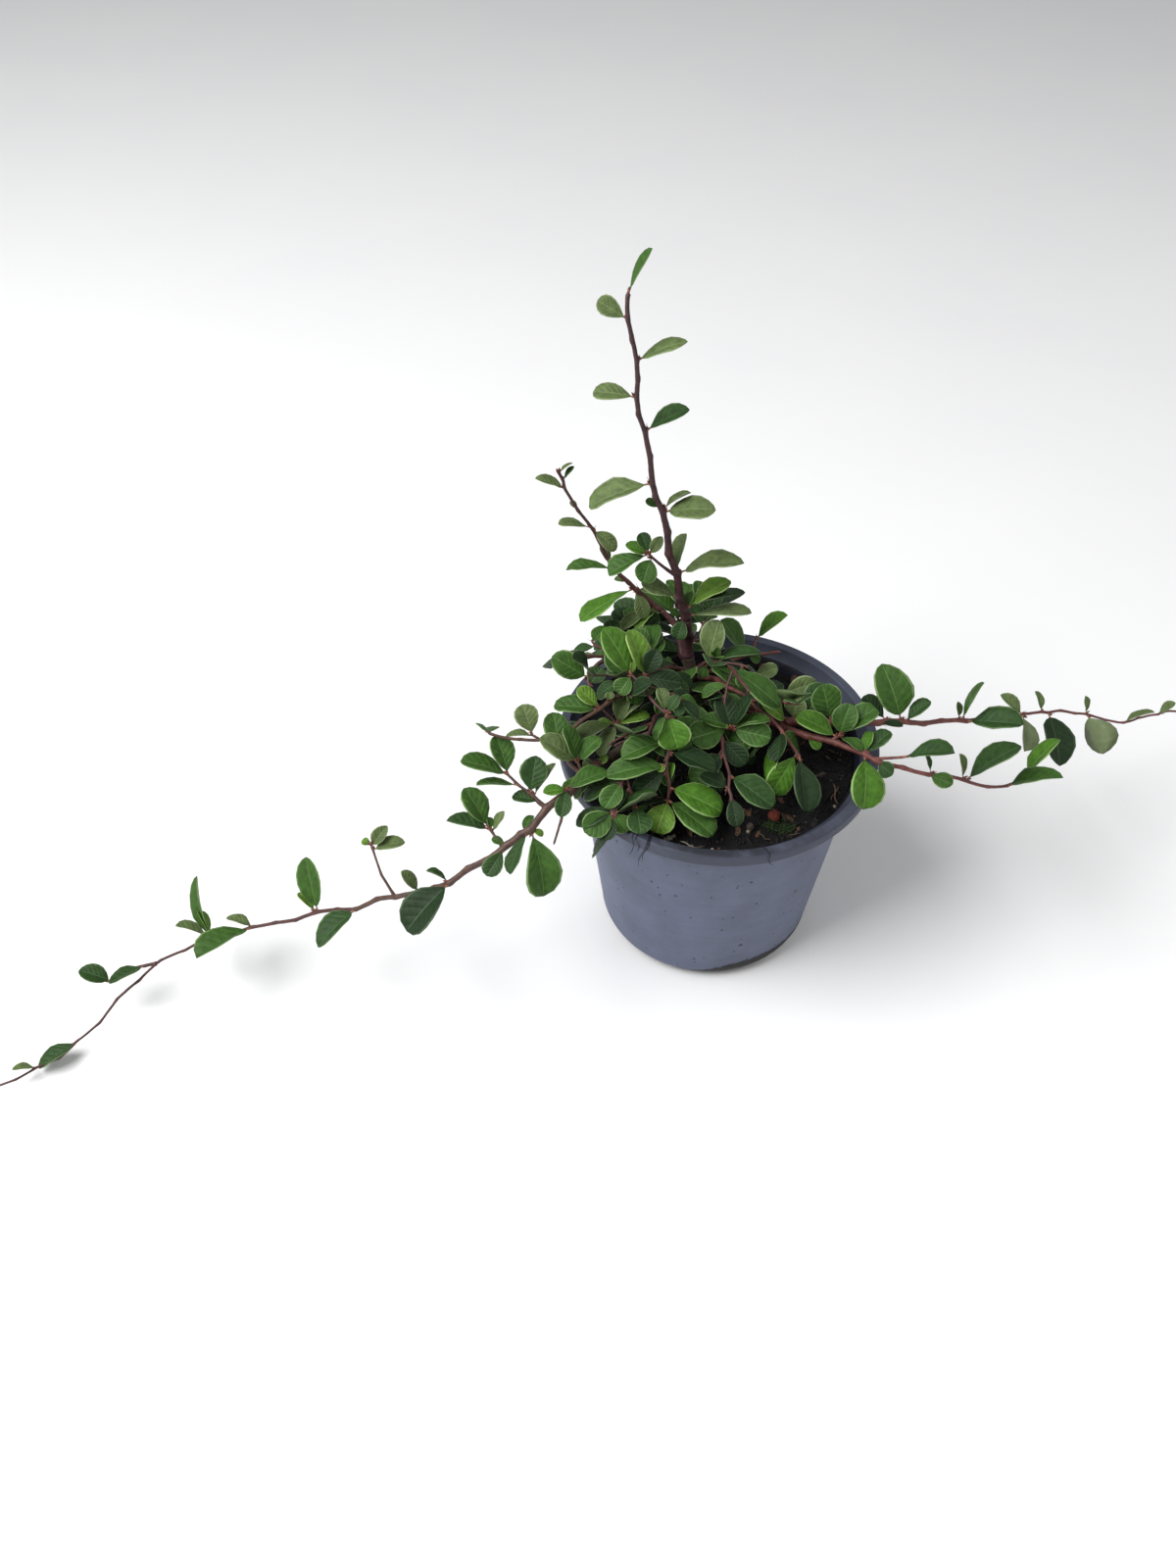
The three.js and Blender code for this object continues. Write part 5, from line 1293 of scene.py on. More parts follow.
def add_spindles(shape, paths, radii, sides, material):
    """Tubes along paths (n, k, 3) with radii (n, k), closed by a point at both ends. Ring = cos * a + sin * b,
    where a and b are square to the path's mean direction."""
    count, steps = radii.shape
    if count == 0:
        return
    way = unit(paths[:, -1] - paths[:, 0])
    helper = np.where(np.abs(way[:, 2:]) > 0.8, [[0.0, 1, 0]], [[0.0, 0, 1]])
    a = unit(np.cross(helper, way))
    b = np.cross(way, a)
    rings = paths[:, :, None] + radii[..., None, None] * spokes(round_steps(sides), a, b)[:, None]
    points = np.concatenate([rings.reshape(count, -1, 3), paths[:, :1], paths[:, -1:]], axis=1)
    low, high = fans(steps, sides)
    each = steps * sides + 2
    faces = [(repeated(f, each, count), material, True) for f in (grid(steps, sides, True), low, high)]
    shape.add(points, faces)


def stalk_length(leaf):
    """Length of a leaf's stalk from the middle of its stem: through the bark, and a short way on."""
    return min(leaf["stem_radius"] + 0.07 * leaf["length"], 0.22 * leaf["length"])


# Steps along a stalk, a bud and a stipule as shares of its length, and the radius at each
STALK = np.array([0, 0.45, 0.75, 1.04]), np.array([0.62, 0.46, 0.4, 0.34])
BUD = np.array([0, 0.3, 0.65, 0.9, 1.0]), np.array([0.3, 0.5, 0.42, 0.16, 0.03])
STIPULE = np.array([0, 0.4, 0.8, 1.0]), np.array([0.2, 0.17, 0.09, 0.02])


def add_stalks(shape, wanted, material):
    """Leaf stalks: from the middle of the stem out to the foot of the blade, thicker at the stem."""
    share, thick = STALK
    root, along, face, whole = (of_all(wanted, key) for key in ("at", "along", "face", "length"))
    length = np.array([stalk_length(leaf) for leaf in wanted])
    reach = share[None] * length[:, None]
    drop = LEAF_CURL * reach**2 / whole[:, None]
    paths = root[:, None] + reach[..., None] * along[:, None] - drop[..., None] * face[:, None]
    radii = thick * np.clip(whole / 17, 0.55, 1)[:, None]
    add_spindles(shape, paths, radii, 6, material)


def add_buds(shape, wanted, rng, material):
    """Buds in the angle of leaf and stem: egg shapes 1.4 to 2.4 mm long that lean on the stem."""
    if not wanted:
        return
    share, thick = BUD
    root = np.array([leaf["at"] + leaf["along"] * leaf["stem_radius"] * 0.85 for leaf in wanted])
    way = np.array([leaf["stem_way"] * 0.9 + leaf["along"] * 0.6 + leaf["face"] * 0.15 for leaf in wanted])
    length = rng.uniform(1.4, 2.4, len(wanted))[:, None, None]
    paths = root[:, None] + unit(way)[:, None] * length * share[:, None]
    radii = thick * rng.uniform(0.8, 1.15, len(wanted))[:, None]
    add_spindles(shape, paths, radii, 6, material)


def add_stipules(shape, wanted, rng, material):
    """Stipules: two thin spikes beside each stalk, bent out at the tip."""
    if not wanted:
        return
    t, thick = STIPULE
    root = np.array([leaf["at"] + leaf["along"] * leaf["stem_radius"] * 0.8 for leaf in wanted])
    for sign in (-1, 1):
        side = np.array([np.cross(leaf["along"], leaf["face"]) for leaf in wanted]) * sign
        way = np.array([leaf["stem_way"] + 0.3 * leaf["along"] for leaf in wanted]) + side * 0.5
        length = rng.uniform(1.4, 3.0, len(wanted))[:, None, None]
        bent = side[:, None] * (0.25 * t**2)[:, None] * length
        paths = root[:, None] + unit(way)[:, None] * length * t[:, None] + bent
        radii = np.broadcast_to(thick, (len(wanted), len(thick)))
        add_spindles(shape, paths, radii, 4, material)


# %% [markdown]
# ## Leaf blades
# A leaf here is oval and widest past its middle, 10 to 22 mm long, leathery, folded along its midrib, with both
# halves arched and the tip bent down. A fine pale line runs round its margin and down its middle. A flat card
# with a picture would be cheaper, but it has no thickness and no fold to catch the light. Each blade is a
# closed shell of a few dozen faces: eight rows of points above, and one keel line below.

# %% Shape of a blade
ROWS = 8
ACROSS = np.array([-1, -0.9, -0.5, -0.04, 0.04, 0.5, 0.9, 1])
ROW_PLACES = 0.5 - 0.5 * np.cos(np.pi * np.arange(ROWS) / ROWS)
BLADE_THICK = 0.32
BLADE_PARTS = 4
BLADE, RIM, RIB, UNDER = range(BLADE_PARTS)


def blade_faces():
    """Faces of one blade as (corners, part) pairs: strips above, two broad strips below, root and tip
    closed."""
    columns = len(ACROSS)
    top = np.arange(ROWS * columns).reshape(ROWS, columns)
    keel = ROWS * columns + np.arange(ROWS)
    tip = ROWS * columns + ROWS
    quads, tris = [], []
    for j in range(columns - 1):
        part = RIM if j in (0, columns - 2) else RIB if j == 3 else BLADE
        a, b = top[:, j], top[:, j + 1]
        quads.append((np.stack([a[:-1], b[:-1], b[1:], a[1:]], -1), part))
        tris.append((np.array([[a[-1], b[-1], tip]]), part))
    left, right = top[:, 0], top[:, -1]
    quads.append((np.stack([left[:-1], left[1:], keel[1:], keel[:-1]], -1), UNDER))
    quads.append((np.stack([keel[:-1], keel[1:], right[1:], right[:-1]], -1), UNDER))
    tris.append((np.array([[left[-1], tip, keel[-1]], [keel[-1], tip, right[-1]]]), UNDER))
    root = np.stack([top[0, 1:], top[0, :-1], np.full(columns - 1, keel[0])], -1)
    tris.append((root, UNDER))
    return quads, tris


def blade_points(wanted, rng):
    """Points (n, 73, 3) of many blades.

    Half width = u**p * (1 - u)**q, scaled to 1 at its widest. Across a half the surface rises at one angle by
    the midrib and bends over to another at the margin. Along the leaf it falls by the curl times the square of
    the distance. The keel lies BLADE_THICK under the midrib.
    """
    count = len(wanted)
    pick = lambda low, high: rng.uniform(low, high, count)[:, None, None]
    p, q = pick(0.6, 1.0), pick(0.44, 0.64)
    steep, flat = np.radians(pick(28, 56)), np.radians(pick(-20, 6))
    curl, twist = LEAF_CURL * pick(0.6, 1.6), pick(-0.25, 0.25)
    bend, wave = pick(-0.06, 0.06), pick(-0.09, 0.09)
    length, wide = (of_all(wanted, key)[:, None, None] for key in ("length", "wide"))
    stalk = np.array([stalk_length(leaf) for leaf in wanted])[:, None, None]
    u = ROW_PLACES[None, :, None]
    v = ACROSS[None, None, :]
    most = (p / (p + q)) ** p * (q / (p + q)) ** q
    slim = np.array([leaf["shoot"].get("slim", 1.2) for leaf in wanted])[:, None, None]
    half = np.maximum(slim * length * wide / 2 * u**p * (1 - u) ** q / most, 0.3)
    reach = (stalk + (length - stalk) * u) / length
    size = np.abs(v)
    across = half * (size * np.cos(steep) + size**2 / 2 * (np.cos(flat) - np.cos(steep))) * np.sign(v)
    rise = half * (size * np.sin(steep) + size**2 / 2 * (np.sin(flat) - np.sin(steep)))
    rise = rise * np.minimum(1, 3 * u + 0.2) + wave * half * size * np.sin(9 * u + 4 * np.sign(v))
    angle = twist * reach
    across, rise = across * np.cos(angle) - rise * np.sin(angle), across * np.sin(angle) + rise * np.cos(angle)
    fall = curl * length * reach**2
    shift = bend * length * reach**2
    x = np.broadcast_to(length * reach, across.shape)
    top = np.stack([x, across + shift, rise - fall], -1).reshape(count, -1, 3)
    thick = BLADE_THICK * np.clip(length / 16, 0.6, 1)
    low = np.stack([(length * reach)[..., 0], shift[..., 0], (-fall - thick)[..., 0]], -1)
    end = np.concatenate([length, bend * length, -curl * length - 0.1], -1)
    spots = np.concatenate([top, low, end], axis=1)
    along, face = of_all(wanted, "along"), of_all(wanted, "face")
    axes = np.stack([along, np.cross(along, face), face], axis=1)
    return of_all(wanted, "at")[:, None] + spots @ axes


def add_blades(shape, wanted, rng):
    """Blades of many leaves. Each takes the four materials of its own tint: blade, rim, midrib and
    underside."""
    count, columns = len(wanted), len(ACROSS)
    points = blade_points(wanted, rng)
    each = points.shape[1]
    tint = of_all(wanted, "tint") * BLADE_PARTS
    quads, tris = blade_faces()
    faces = []
    for corners, part in quads + tris:
        faces.append((repeated(corners, each, count), np.repeat(tint + part, len(corners)), True))
    u = np.repeat(ROW_PLACES, columns)
    v = np.tile(ACROSS / 2 + 0.5, ROWS)
    uv = np.stack([np.concatenate([u, ROW_PLACES, [1]]), np.concatenate([v, np.full(ROWS + 1, 0.5)])], -1)
    shape.add(points, faces, np.tile(uv, (count, 1)))


# %% [markdown]
# ## Finishes of the plant
# Leaves of one plant differ: young ones are yellow-green, old ones dark, and some look grey where the sky lies
# on them. Six tints are dealt out to them, each with a paler rim and midrib and a matte underside; the darker
# tints also stand for painted shade, and the lighter ones for painted light. A picture of a leaf would give all
# of them the same face, and plain colours with a fine mottle and side veins as a bump don't.

# %% Leaf colours
# Each tint: upper side, rim, midrib, underside
TINTS = {
    "young": [(100, 138, 48), (156, 180, 106), (132, 158, 74), (128, 144, 88)],
    "fresh": [(75, 119, 34), (132, 164, 92), (102, 140, 58), (106, 124, 74)],
    "mid": [(61, 96, 36), (114, 142, 84), (84, 116, 56), (92, 110, 66)],
    "deep": [(47, 76, 34), (92, 118, 70), (64, 92, 50), (80, 98, 60)],
    "dark": [(32, 54, 26), (64, 86, 50), (42, 66, 34), (62, 80, 50)],
    "dull": [(98, 116, 69), (138, 154, 108), (112, 130, 82), (112, 126, 86)],
}
TINT_NAMES = list(TINTS)
SHADES = {"y": "young", "f": "fresh", "m": "mid", "d": "deep", "k": "dark", "g": "dull", "u": "dull"}


# Leaves by dice low in the mound take darker tints: older leaves, and painted shade under those above
LOW_LEAF = POT_HEIGHT + 10
LOW_SHADED_TINTS = ["dark", "dark", "deep", "deep"]
HIGH_TINTS = ["dark", "deep", "mid", "mid"]


def tint_of(leaf, roll):
    """Tint from the letter of a set leaf; else by place: fresh on spurs, darker low in the mound as painted shade.
    """
    if leaf["shade"]:
        return SHADES[leaf["shade"]]
    if "spur" in leaf["shoot"]:
        return "fresh" if roll > 0.5 else "mid"
    order = LOW_SHADED_TINTS if leaf["at"][2] < LOW_LEAF else HIGH_TINTS
    return order[int(roll * len(order))]


tint_rolls = np.random.default_rng(77).random(len(leaves))
for leaf, roll in zip(leaves, tint_rolls):
    leaf["tint"] = TINT_NAMES.index(tint_of(leaf, roll))
print({name: sum(leaf["tint"] == i for leaf in leaves) for i, name in enumerate(TINT_NAMES)})

# %% Veins group
# Side veins slant outwards: their place is a wave of the share along the leaf less that of the way to the margin
VEINS, inlet, outlet = new_group("veins", [("Vector", VECTOR, (0, 0, 0))], [("Height", FLOAT)])
parts = add_node(VEINS, "ShaderNodeSeparateXYZ", {0: inlet.outputs["Vector"]})
aside = calc(VEINS, "ABSOLUTE", calc(VEINS, "SUBTRACT", parts.outputs["Y"], 0.5))
slanted = calc(VEINS, "MULTIPLY_ADD", parts.outputs["X"], 12.0, calc(VEINS, "MULTIPLY", aside, -8.0))
from_vein = calc(VEINS, "PINGPONG", slanted, 1.0)
height = calc(VEINS, "MULTIPLY", from_vein, calc(VEINS, "SUBTRACT", 2.0, from_vein))
VEINS.links.new(height, outlet.inputs["Height"])


# %% Leaf finishes
def blade_finish(name, rgb):
    """Upper side of a blade: a mottled base, and side veins as shallow grooves across each half."""
    material = finish(name, rgb, shaded(rgb, 0.24), scale=420.0, amount=0.9, roughness=0.55,
                      bump_scale=1400.0, bump=0.05, specular=0.2)
    tree = material.node_tree
    place, grain, bump = (node_of(tree, kind) for kind in ("TEX_COORD", "TEX_NOISE", "BUMP"))
    veins = add_node(tree, "ShaderNodeGroup", {"Vector": place.outputs["UV"]}, node_tree=VEINS)
    height = calc(tree, "MULTIPLY_ADD", veins.outputs["Height"], 3.0, grain.outputs["Fac"])
    tree.links.new(height, bump.inputs["Height"])
    return material


LEAF_MATERIALS = []
for name, (top, rim, rib, under) in TINTS.items():
    LEAF_MATERIALS.append(blade_finish(f"leaf_{name}", top))
    for part, rgb in (("rim", rim), ("rib", rib)):
        LEAF_MATERIALS.append(finish(f"{part}_{name}", rgb, shaded(rgb, 0.1), scale=300.0, amount=0.8,
                                     roughness=0.6, bump_scale=1400.0, bump=0.02))
    LEAF_MATERIALS.append(finish(f"under_{name}", under, shaded(under, 0.14), scale=350.0, amount=0.8,
                                 roughness=0.7, bump_scale=900.0, bump=0.05))
print("leaf finishes:", len(LEAF_MATERIALS))

# %% Bark finishes
# Each bark: its base and its shade, in the order of the numbers that the stems use
OLD, BROWN, RED, PINK, MAROON, STALK_BARK, BUD_BARK = range(7)
BARK_COLOURS = {
    "bark_old": [(72, 60, 48), (42, 34, 29)],
    "bark_brown": [(92, 64, 52), (56, 38, 32)],
    "bark_red": [(84, 46, 42), (52, 28, 28)],
    "bark_pink": [(118, 66, 58), (78, 40, 38)],
    "bark_maroon": [(72, 38, 42), (42, 22, 26)],
    "stalk": [(138, 98, 70), (112, 66, 54)],
    "bud": [(108, 58, 44), (70, 36, 30)],
}
STEM_MATERIALS = finishes(BARK_COLOURS, scale=420.0, amount=0.9, roughness=0.55, bump_scale=1500.0, bump=0.12)


def bark_of(part):
    """Bark by part: old on trunk and left bough, redder outwards, pink on the right."""
    if part in ("trunk", "bough_left"):
        return OLD
    if part in ("bough_upright", "spray_upright"):
        return MAROON
    if "right_" in part or part == "bough_right":
        return PINK
    return BROWN if part in ("spray_left_inner", "mound_left") else RED


# %% Dress every part of the plant
# Only leaves longer than this have stipules
STIPULE_LEAF = 9
PLANT_PARTS = ["trunk"] + [name for shoot in SHOOTS for _, name in shoot["parts"]]
for number, part in enumerate(PLANT_PARTS):
    rng = np.random.default_rng(1000 + number)
    own = [leaf for leaf in leaves if leaf["part"] == part]
    woody = Shape()
    for stem in stems:
        for start, stop, name in stem["pieces"]:
            if name == part:
                add_stem(woody, stem, start, stop, bark_of(part))
    if part == "trunk":
        trunk_shape = woody
        continue
    if own:
        add_stalks(woody, own, STALK_BARK)
        add_buds(woody, own, rng, BUD_BARK)
        add_stipules(woody, [leaf for leaf in own if leaf["length"] > STIPULE_LEAF], rng, BUD_BARK)
    wood = woody.piece(f"{part}_bark" if part.startswith("bough") else f"{part}_twigs", STEM_MATERIALS)
    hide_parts(part)
    if own:
        green = Shape()
        add_blades(green, own, rng)
        blades = green.piece(f"{part}_leaves", LEAF_MATERIALS)
        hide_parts(part)

# %% [markdown]
# ## Trunk
# The stem of a young cutting is a few centimetres of old wood that spreads a little where it meets the soil.
# The plain solid is a leaning stack of rings; here the same line and the same buttress wave get ridged bark.

# %% Stump
STUMP_RINGS, STUMP_COLUMNS = 28, 40
t = np.linspace(0, 1, STUMP_RINGS)[:, None]
a = round_steps(STUMP_COLUMNS)[None]
reach = np.interp(t, np.linspace(0, 1, len(STUMP_RADII)), STUMP_RADII) * buttress(t, a)
places = np.stack(np.broadcast_arrays(2.2 * np.cos(a), 2.2 * np.sin(a), 2.6 * t), -1)
reach = reach + 0.28 * noise(places) + 0.16 * noise(places * [2.3, 2.3, 1.2])
middle = stump_middle(t)
stump = middle[:, None] + np.stack([reach * np.cos(a), reach * np.sin(a), 0 * reach], -1)
low, high = fans(STUMP_RINGS, STUMP_COLUMNS)
trunk_shape.add(
    np.concatenate([stump.reshape(-1, 3), middle[:1], middle[-1:]]),
    [(grid(STUMP_RINGS, STUMP_COLUMNS, True), OLD, True), (low, OLD, False), (high, OLD, False)],
)
trunk = trunk_shape.piece("trunk_bark", STEM_MATERIALS)
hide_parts("trunk")

# %% [markdown]
# ## Pot
# A nursery pot is blown or moulded from thin matte plastic and has a rolled rim that stiffens it. It is a
# turned shape: a profile of radius and height, with round stretches as arcs, swept about the upright axis.


# %% Profile of the pot
def arc(radius, middle, first, last, count):
    """Points [radius, height] on an arc about a middle, between two angles in degrees from the outward axis."""
    a = np.radians(np.linspace(first, last, count))
    return np.stack([middle[0] + radius * np.cos(a), middle[1] + radius * np.sin(a)], -1)


def wall_radius(height):
    """Outer radius of the wall: an even slope from the top of the foot's round corner to the rim."""
    share = (height - FOOT_CORNER) / (POT_HEIGHT - RIM_DEPTH - FOOT_CORNER)
    return mix(WALL_FOOT_RADIUS, WALL_TOP_RADIUS, share)


RIM_ROUND = 1.2
LIP_ROUND = 0.8
# The edge between lip and hollow is sharper than the rim by this
LIP_SHARPER = 0.5
POT_TURNS = 144
rim_foot = POT_HEIGHT - RIM_DEPTH
flat = WALL_FOOT_RADIUS - FOOT_CORNER
edge_round = RIM_ROUND - LIP_SHARPER
wall_heights = np.linspace(FOOT_CORNER, rim_foot - 0.8, 26)[1:]
outside = np.stack([wall_radius(wall_heights), wall_heights], -1)
inner_heights = np.linspace(rim_foot - 0.6, FLOOR + FOOT_CORNER - WALL, 14)[:-1]
inside_wall = np.stack([wall_radius(inner_heights) - WALL, inner_heights], -1)
POT_OUTER, POT_RIM, POT_LIP, POT_INNER = range(4)
stretches = [
    (POT_OUTER, np.stack([np.linspace(0, flat, 8), np.zeros(8)], -1)[:-1]),
    (POT_OUTER, arc(FOOT_CORNER, (flat, FOOT_CORNER), -90, 0, 12)),
    (POT_OUTER, outside),
    (POT_OUTER, arc(LIP_ROUND, (WALL_TOP_RADIUS + 1.0, rim_foot - 0.1), 180, 90, 5)),
    (POT_RIM, arc(LIP_ROUND, (RIM_RADIUS - LIP_ROUND, rim_foot + 0.4 + LIP_ROUND), -90, 0, 6)),
    (POT_RIM, arc(RIM_ROUND, (RIM_RADIUS - RIM_ROUND, POT_HEIGHT - RIM_ROUND), 0, 45, 5)),
    (POT_LIP, arc(RIM_ROUND, (RIM_RADIUS - RIM_ROUND, POT_HEIGHT - RIM_ROUND), 56, 90, 4)),
    (POT_LIP, arc(edge_round, (RIM_INNER_RADIUS + edge_round, POT_HEIGHT - edge_round), 90, 180, 7)),
    (POT_LIP, np.array([[WALL_TOP_RADIUS - WALL + 1.6, rim_foot + 1.4]])),
    (POT_INNER, inside_wall),
    (POT_INNER, arc(FOOT_CORNER - WALL, (flat, FLOOR + FOOT_CORNER - WALL), 0, -90, 8)),
]
profile = np.concatenate([points for _, points in stretches])
profile_parts = np.concatenate([np.full(len(points), part) for part, points in stretches])
print("profile points:", len(profile))


# %% Turn the profile
def turned(shape, profile, columns, material, rise=None):
    """Surface of points (radius cos a, radius sin a, height), closed on the axis at both ends; one material
    number for all, or one for each ring."""
    a = round_steps(columns)
    rings = profile[profile[:, 0] > 0]
    radius, height = rings[:, :1], rings[:, 1:]
    points = np.stack(np.broadcast_arrays(radius * np.cos(a), radius * np.sin(a), height), -1)
    ends = np.array([[0, 0, profile[0, 1]], [0, 0, profile[-1, 1]]])
    points = np.concatenate([points.reshape(-1, 3), ends])
    if rise is not None:
        points[:, 2] += rise(points)
    low, high = fans(len(rings), columns)
    bands = np.broadcast_to(material, len(rings))
    faces = [(grid(len(rings), columns, True), np.repeat(bands[1:], columns), True)]
    faces += [(low, bands[0], True), (high, bands[-1], True)]
    arc_length = np.concatenate([[0], np.cumsum(np.hypot(*np.diff(rings, axis=0).T))])
    uv = np.stack(np.broadcast_arrays(a / (2 * np.pi), arc_length[:, None] / 100), -1).reshape(-1, 2)
    shape.add(points, faces, np.concatenate([uv, uv[:1], uv[-1:]]))


pot_shape = Shape()
turned(pot_shape, np.concatenate([profile, [[0, FLOOR]]]), POT_TURNS, profile_parts[1:])

# %% [markdown]
# The plastic is a dull blue-grey with a fine mottle and faint rings from the mould. It isn't clean: dark specks
# of compost cling to the wall, and dust lies on the lip towards the front, deepened there by painted shade. A
# painted shadow darkens one side of the foot. The rim, the lip and the inside of the wall are the same plastic
# painted darker as shade, the inside with darker stains in patches. Each mark is a mask that mixes a colour over
# the plastic, so that one colour stays in charge of all.


# %% Pot plastic
POT_COLOUR = (98, 105, 128)
# The inside of the wall is the same plastic, painted dark as shade
SHADED_INNER_COLOUR = (30, 32, 46)
# The rim and the lip are the wall's plastic painted darker, as shade under the overhanging leaves
SHADED_RIM_COLOUR = (66, 71, 86)
SHADED_LIP_COLOUR = (72, 77, 92)
# Black of the painted shadow at one side of the foot
FOOT_SHADOW_COLOUR = (4, 4, 4)
SPECK_COLOUR = (36, 36, 46)
# Dust on the lip, with painted shade towards the front
DUST_AND_SHADE_COLOUR = (34, 34, 40)
STAIN_COLOUR = (16, 15, 20)


def plastic(name, rgb):
    """Matte plastic of a colour; gives the material and its tree, and its place in the pot as sockets."""
    material = finish(name, rgb, shaded(rgb, 0.14), scale=60.0, amount=0.8, roughness=0.55,
                      bump_scale=2200.0, bump=0.03, specular=0.32)
    tree = material.node_tree
    place = node_of(tree, "TEX_COORD").outputs["Object"]
    parts = add_node(tree, "ShaderNodeSeparateXYZ", {0: place})
    return material, tree, place, parts.outputs


def stretched(tree, place, scale, size, detail):
    """Noise of a size whose pattern is squeezed by a scale along each axis."""
    squeeze = add_node(tree, "ShaderNodeVectorMath", {0: place, 1: scale}, operation="MULTIPLY")
    pattern = add_node(tree, "ShaderNodeTexNoise", {
        "Vector": squeeze.outputs[0], "Scale": size, "Detail": detail, "Roughness": 0.65,
    })
    return pattern.outputs["Fac"]


def lay_over(tree, mask, rgb):
    """Mixes a colour over the base colour of a finish by a mask."""
    base = tree.nodes["Principled BSDF"].inputs["Base Color"]
    mixed = add_node(tree, "ShaderNodeMix", {
        "Factor": mask, "A": base.links[0].from_socket, "B": colour(rgb),
    }, data_type="RGBA")
    tree.links.new(mixed.outputs["Result"], base)


# %% Wall: mould rings, specks and the painted shadow at the foot
wall_plastic, tree, place, (x, y, z) = plastic("pot_wall", POT_COLOUR)
rings = calc(tree, "MULTIPLY", between(tree, stretched(tree, place, (1, 1, 14), 22.0, 3.0), 0.45, 0.75), 0.28)
lay_over(tree, rings, shaded(POT_COLOUR, 0.2))
for scale, size, rarity in ((150.0, 0.12, 0.55), (300.0, 0.15, 0.6)):
    specks = add_node(tree, "ShaderNodeGroup", {
        "Vector": place, "Scale": scale, "Size": size, "Rarity": rarity,
    }, node_tree=SPECKS)
    lay_over(tree, calc(tree, "MULTIPLY", specks.outputs["Mask"], 0.85), SPECK_COLOUR)
# Painted shadow at the foot: below a ragged height that rises towards one side, between two turns of the wall
side = between(tree, calc(tree, "MULTIPLY_ADD", x, 0.6, calc(tree, "MULTIPLY", y, -0.8)), 0.028, 0.044)
ragged = calc(tree, "MULTIPLY_ADD", stretched(tree, place, (1, 1, 1), 150.0, 5.0), 0.006, z)
lay_over(tree, between(tree, calc(tree, "MULTIPLY_ADD", side, -0.007, ragged), 0.0075, 0.0062), FOOT_SHADOW_COLOUR)

# %% Rim, lip and inside, painted darker as shade
# Rim and lip: the same plastic in darker colours, as painted shade
shaded_rim_plastic, *_ = plastic("pot_rim_painted_shade", SHADED_RIM_COLOUR)
shaded_lip_plastic, tree, place, (x, y, z) = plastic("pot_lip_painted_shade", SHADED_LIP_COLOUR)
# Dust in patches, and painted shade that grows towards the front
dust = between(tree, stretched(tree, place, (1, 1, 1), 90.0, 5.0), 0.36, 0.6)
dust_and_shade_to_front = between(tree, calc(tree, "MULTIPLY_ADD", x, -0.45, calc(tree, "MULTIPLY", y, -0.9)), -0.01, 0.055)
lay_over(tree, calc(tree, "MULTIPLY", calc(tree, "MULTIPLY", dust, dust_and_shade_to_front), 0.85), DUST_AND_SHADE_COLOUR)
# Inside: painted shade, with darker stains in patches
shaded_inner_plastic, tree, place, _ = plastic("pot_inside_painted_shade", SHADED_INNER_COLOUR)
lay_over(tree, between(tree, stretched(tree, place, (1, 1, 2), 60.0, 5.0), 0.42, 0.6), STAIN_COLOUR)
pot = pot_shape.piece("pot_shell", [wall_plastic, shaded_rim_plastic, shaded_lip_plastic, shaded_inner_plastic])
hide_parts("pot")

# %% [markdown]
# ## Compost
# The compost of a potted shrub is dark, moist and crumbly, with bits of bark, pale grit, a clay grain and a
# little moss. The bed is a turned surface raised by noise, and thousands of small grains lie on it. Each grain
# is a twenty-faced body with its corners pushed in and out, turned by its own angles.

# %% Soil bed
SOIL_SIDE = wall_radius(SOIL_TOP) - WALL - GAP * 1.1
# Three sizes of lumps, each as how fast its noise changes in a millimetre, and its height
LUMP_SCALES = [(0.11, 0.8), (0.3, 0.55), (0.8, 0.32)]
# The bed is flat to this distance from the stump, and as lumpy as the rest from this much further out
STUMP_FLAT, STUMP_BLEND = 12, 7


def soil_rise(points):
    """Height above the level of the soil: low waves of the solid, and three sizes of noise, flat under the
    stump."""
    x, y = points[..., 0], points[..., 1]
    reach = np.hypot(x, y)
    waves = 0.5 * np.sin(x / 7 + 1) + 0.5 * np.sin(y / 6 + x / 11)
    edge = np.clip((SOIL_SIDE - 0.7 - reach) / 8, 0, 1)
    flat = np.stack([x, y, x * 0 + 3], -1)
    lumps = sum(size * noise(flat * scale) for scale, size in LUMP_SCALES)
    from_stump = np.hypot(x - STUMP_FOOT[0], y - STUMP_FOOT[1])
    near = np.clip((STUMP_FLAT + STUMP_BLEND - from_stump) / STUMP_BLEND, 0, 1)
    return mix(SOIL_LUMP * waves * edge + 0.7 * lumps * np.minimum(1, edge + 0.3), SOIL_LUMP, near)


def bed_rise(points):
    """The same height on the top of the bed, and nothing on its sides and underneath."""
    return np.where(points[:, 2] > SOIL_TOP - 0.01, soil_rise(points), 0)


corner = FOOT_CORNER - WALL
BED_RINGS, BED_TURNS = 70, 180
bed_profile = np.concatenate([
    [[0, FLOOR + GAP]],
    arc(corner - GAP, (flat, FLOOR + corner), -90, 0, 5),
    [[SOIL_SIDE, SOIL_TOP]],
    np.stack([np.linspace(SOIL_SIDE - 0.5, 0.6, BED_RINGS), np.full(BED_RINGS, SOIL_TOP)], -1),
    [[0, SOIL_TOP]],
])
bed_shape = Shape()
turned(bed_shape, bed_profile, BED_TURNS, 0, bed_rise)
compost = finish("compost", (20, 18, 19), (8, 7, 8), scale=300.0, amount=1.0, roughness=0.9,
                 bump_scale=900.0, bump=0.5, specular=0.25)
bed = bed_shape.piece("compost_bed", [compost])
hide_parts("soil")

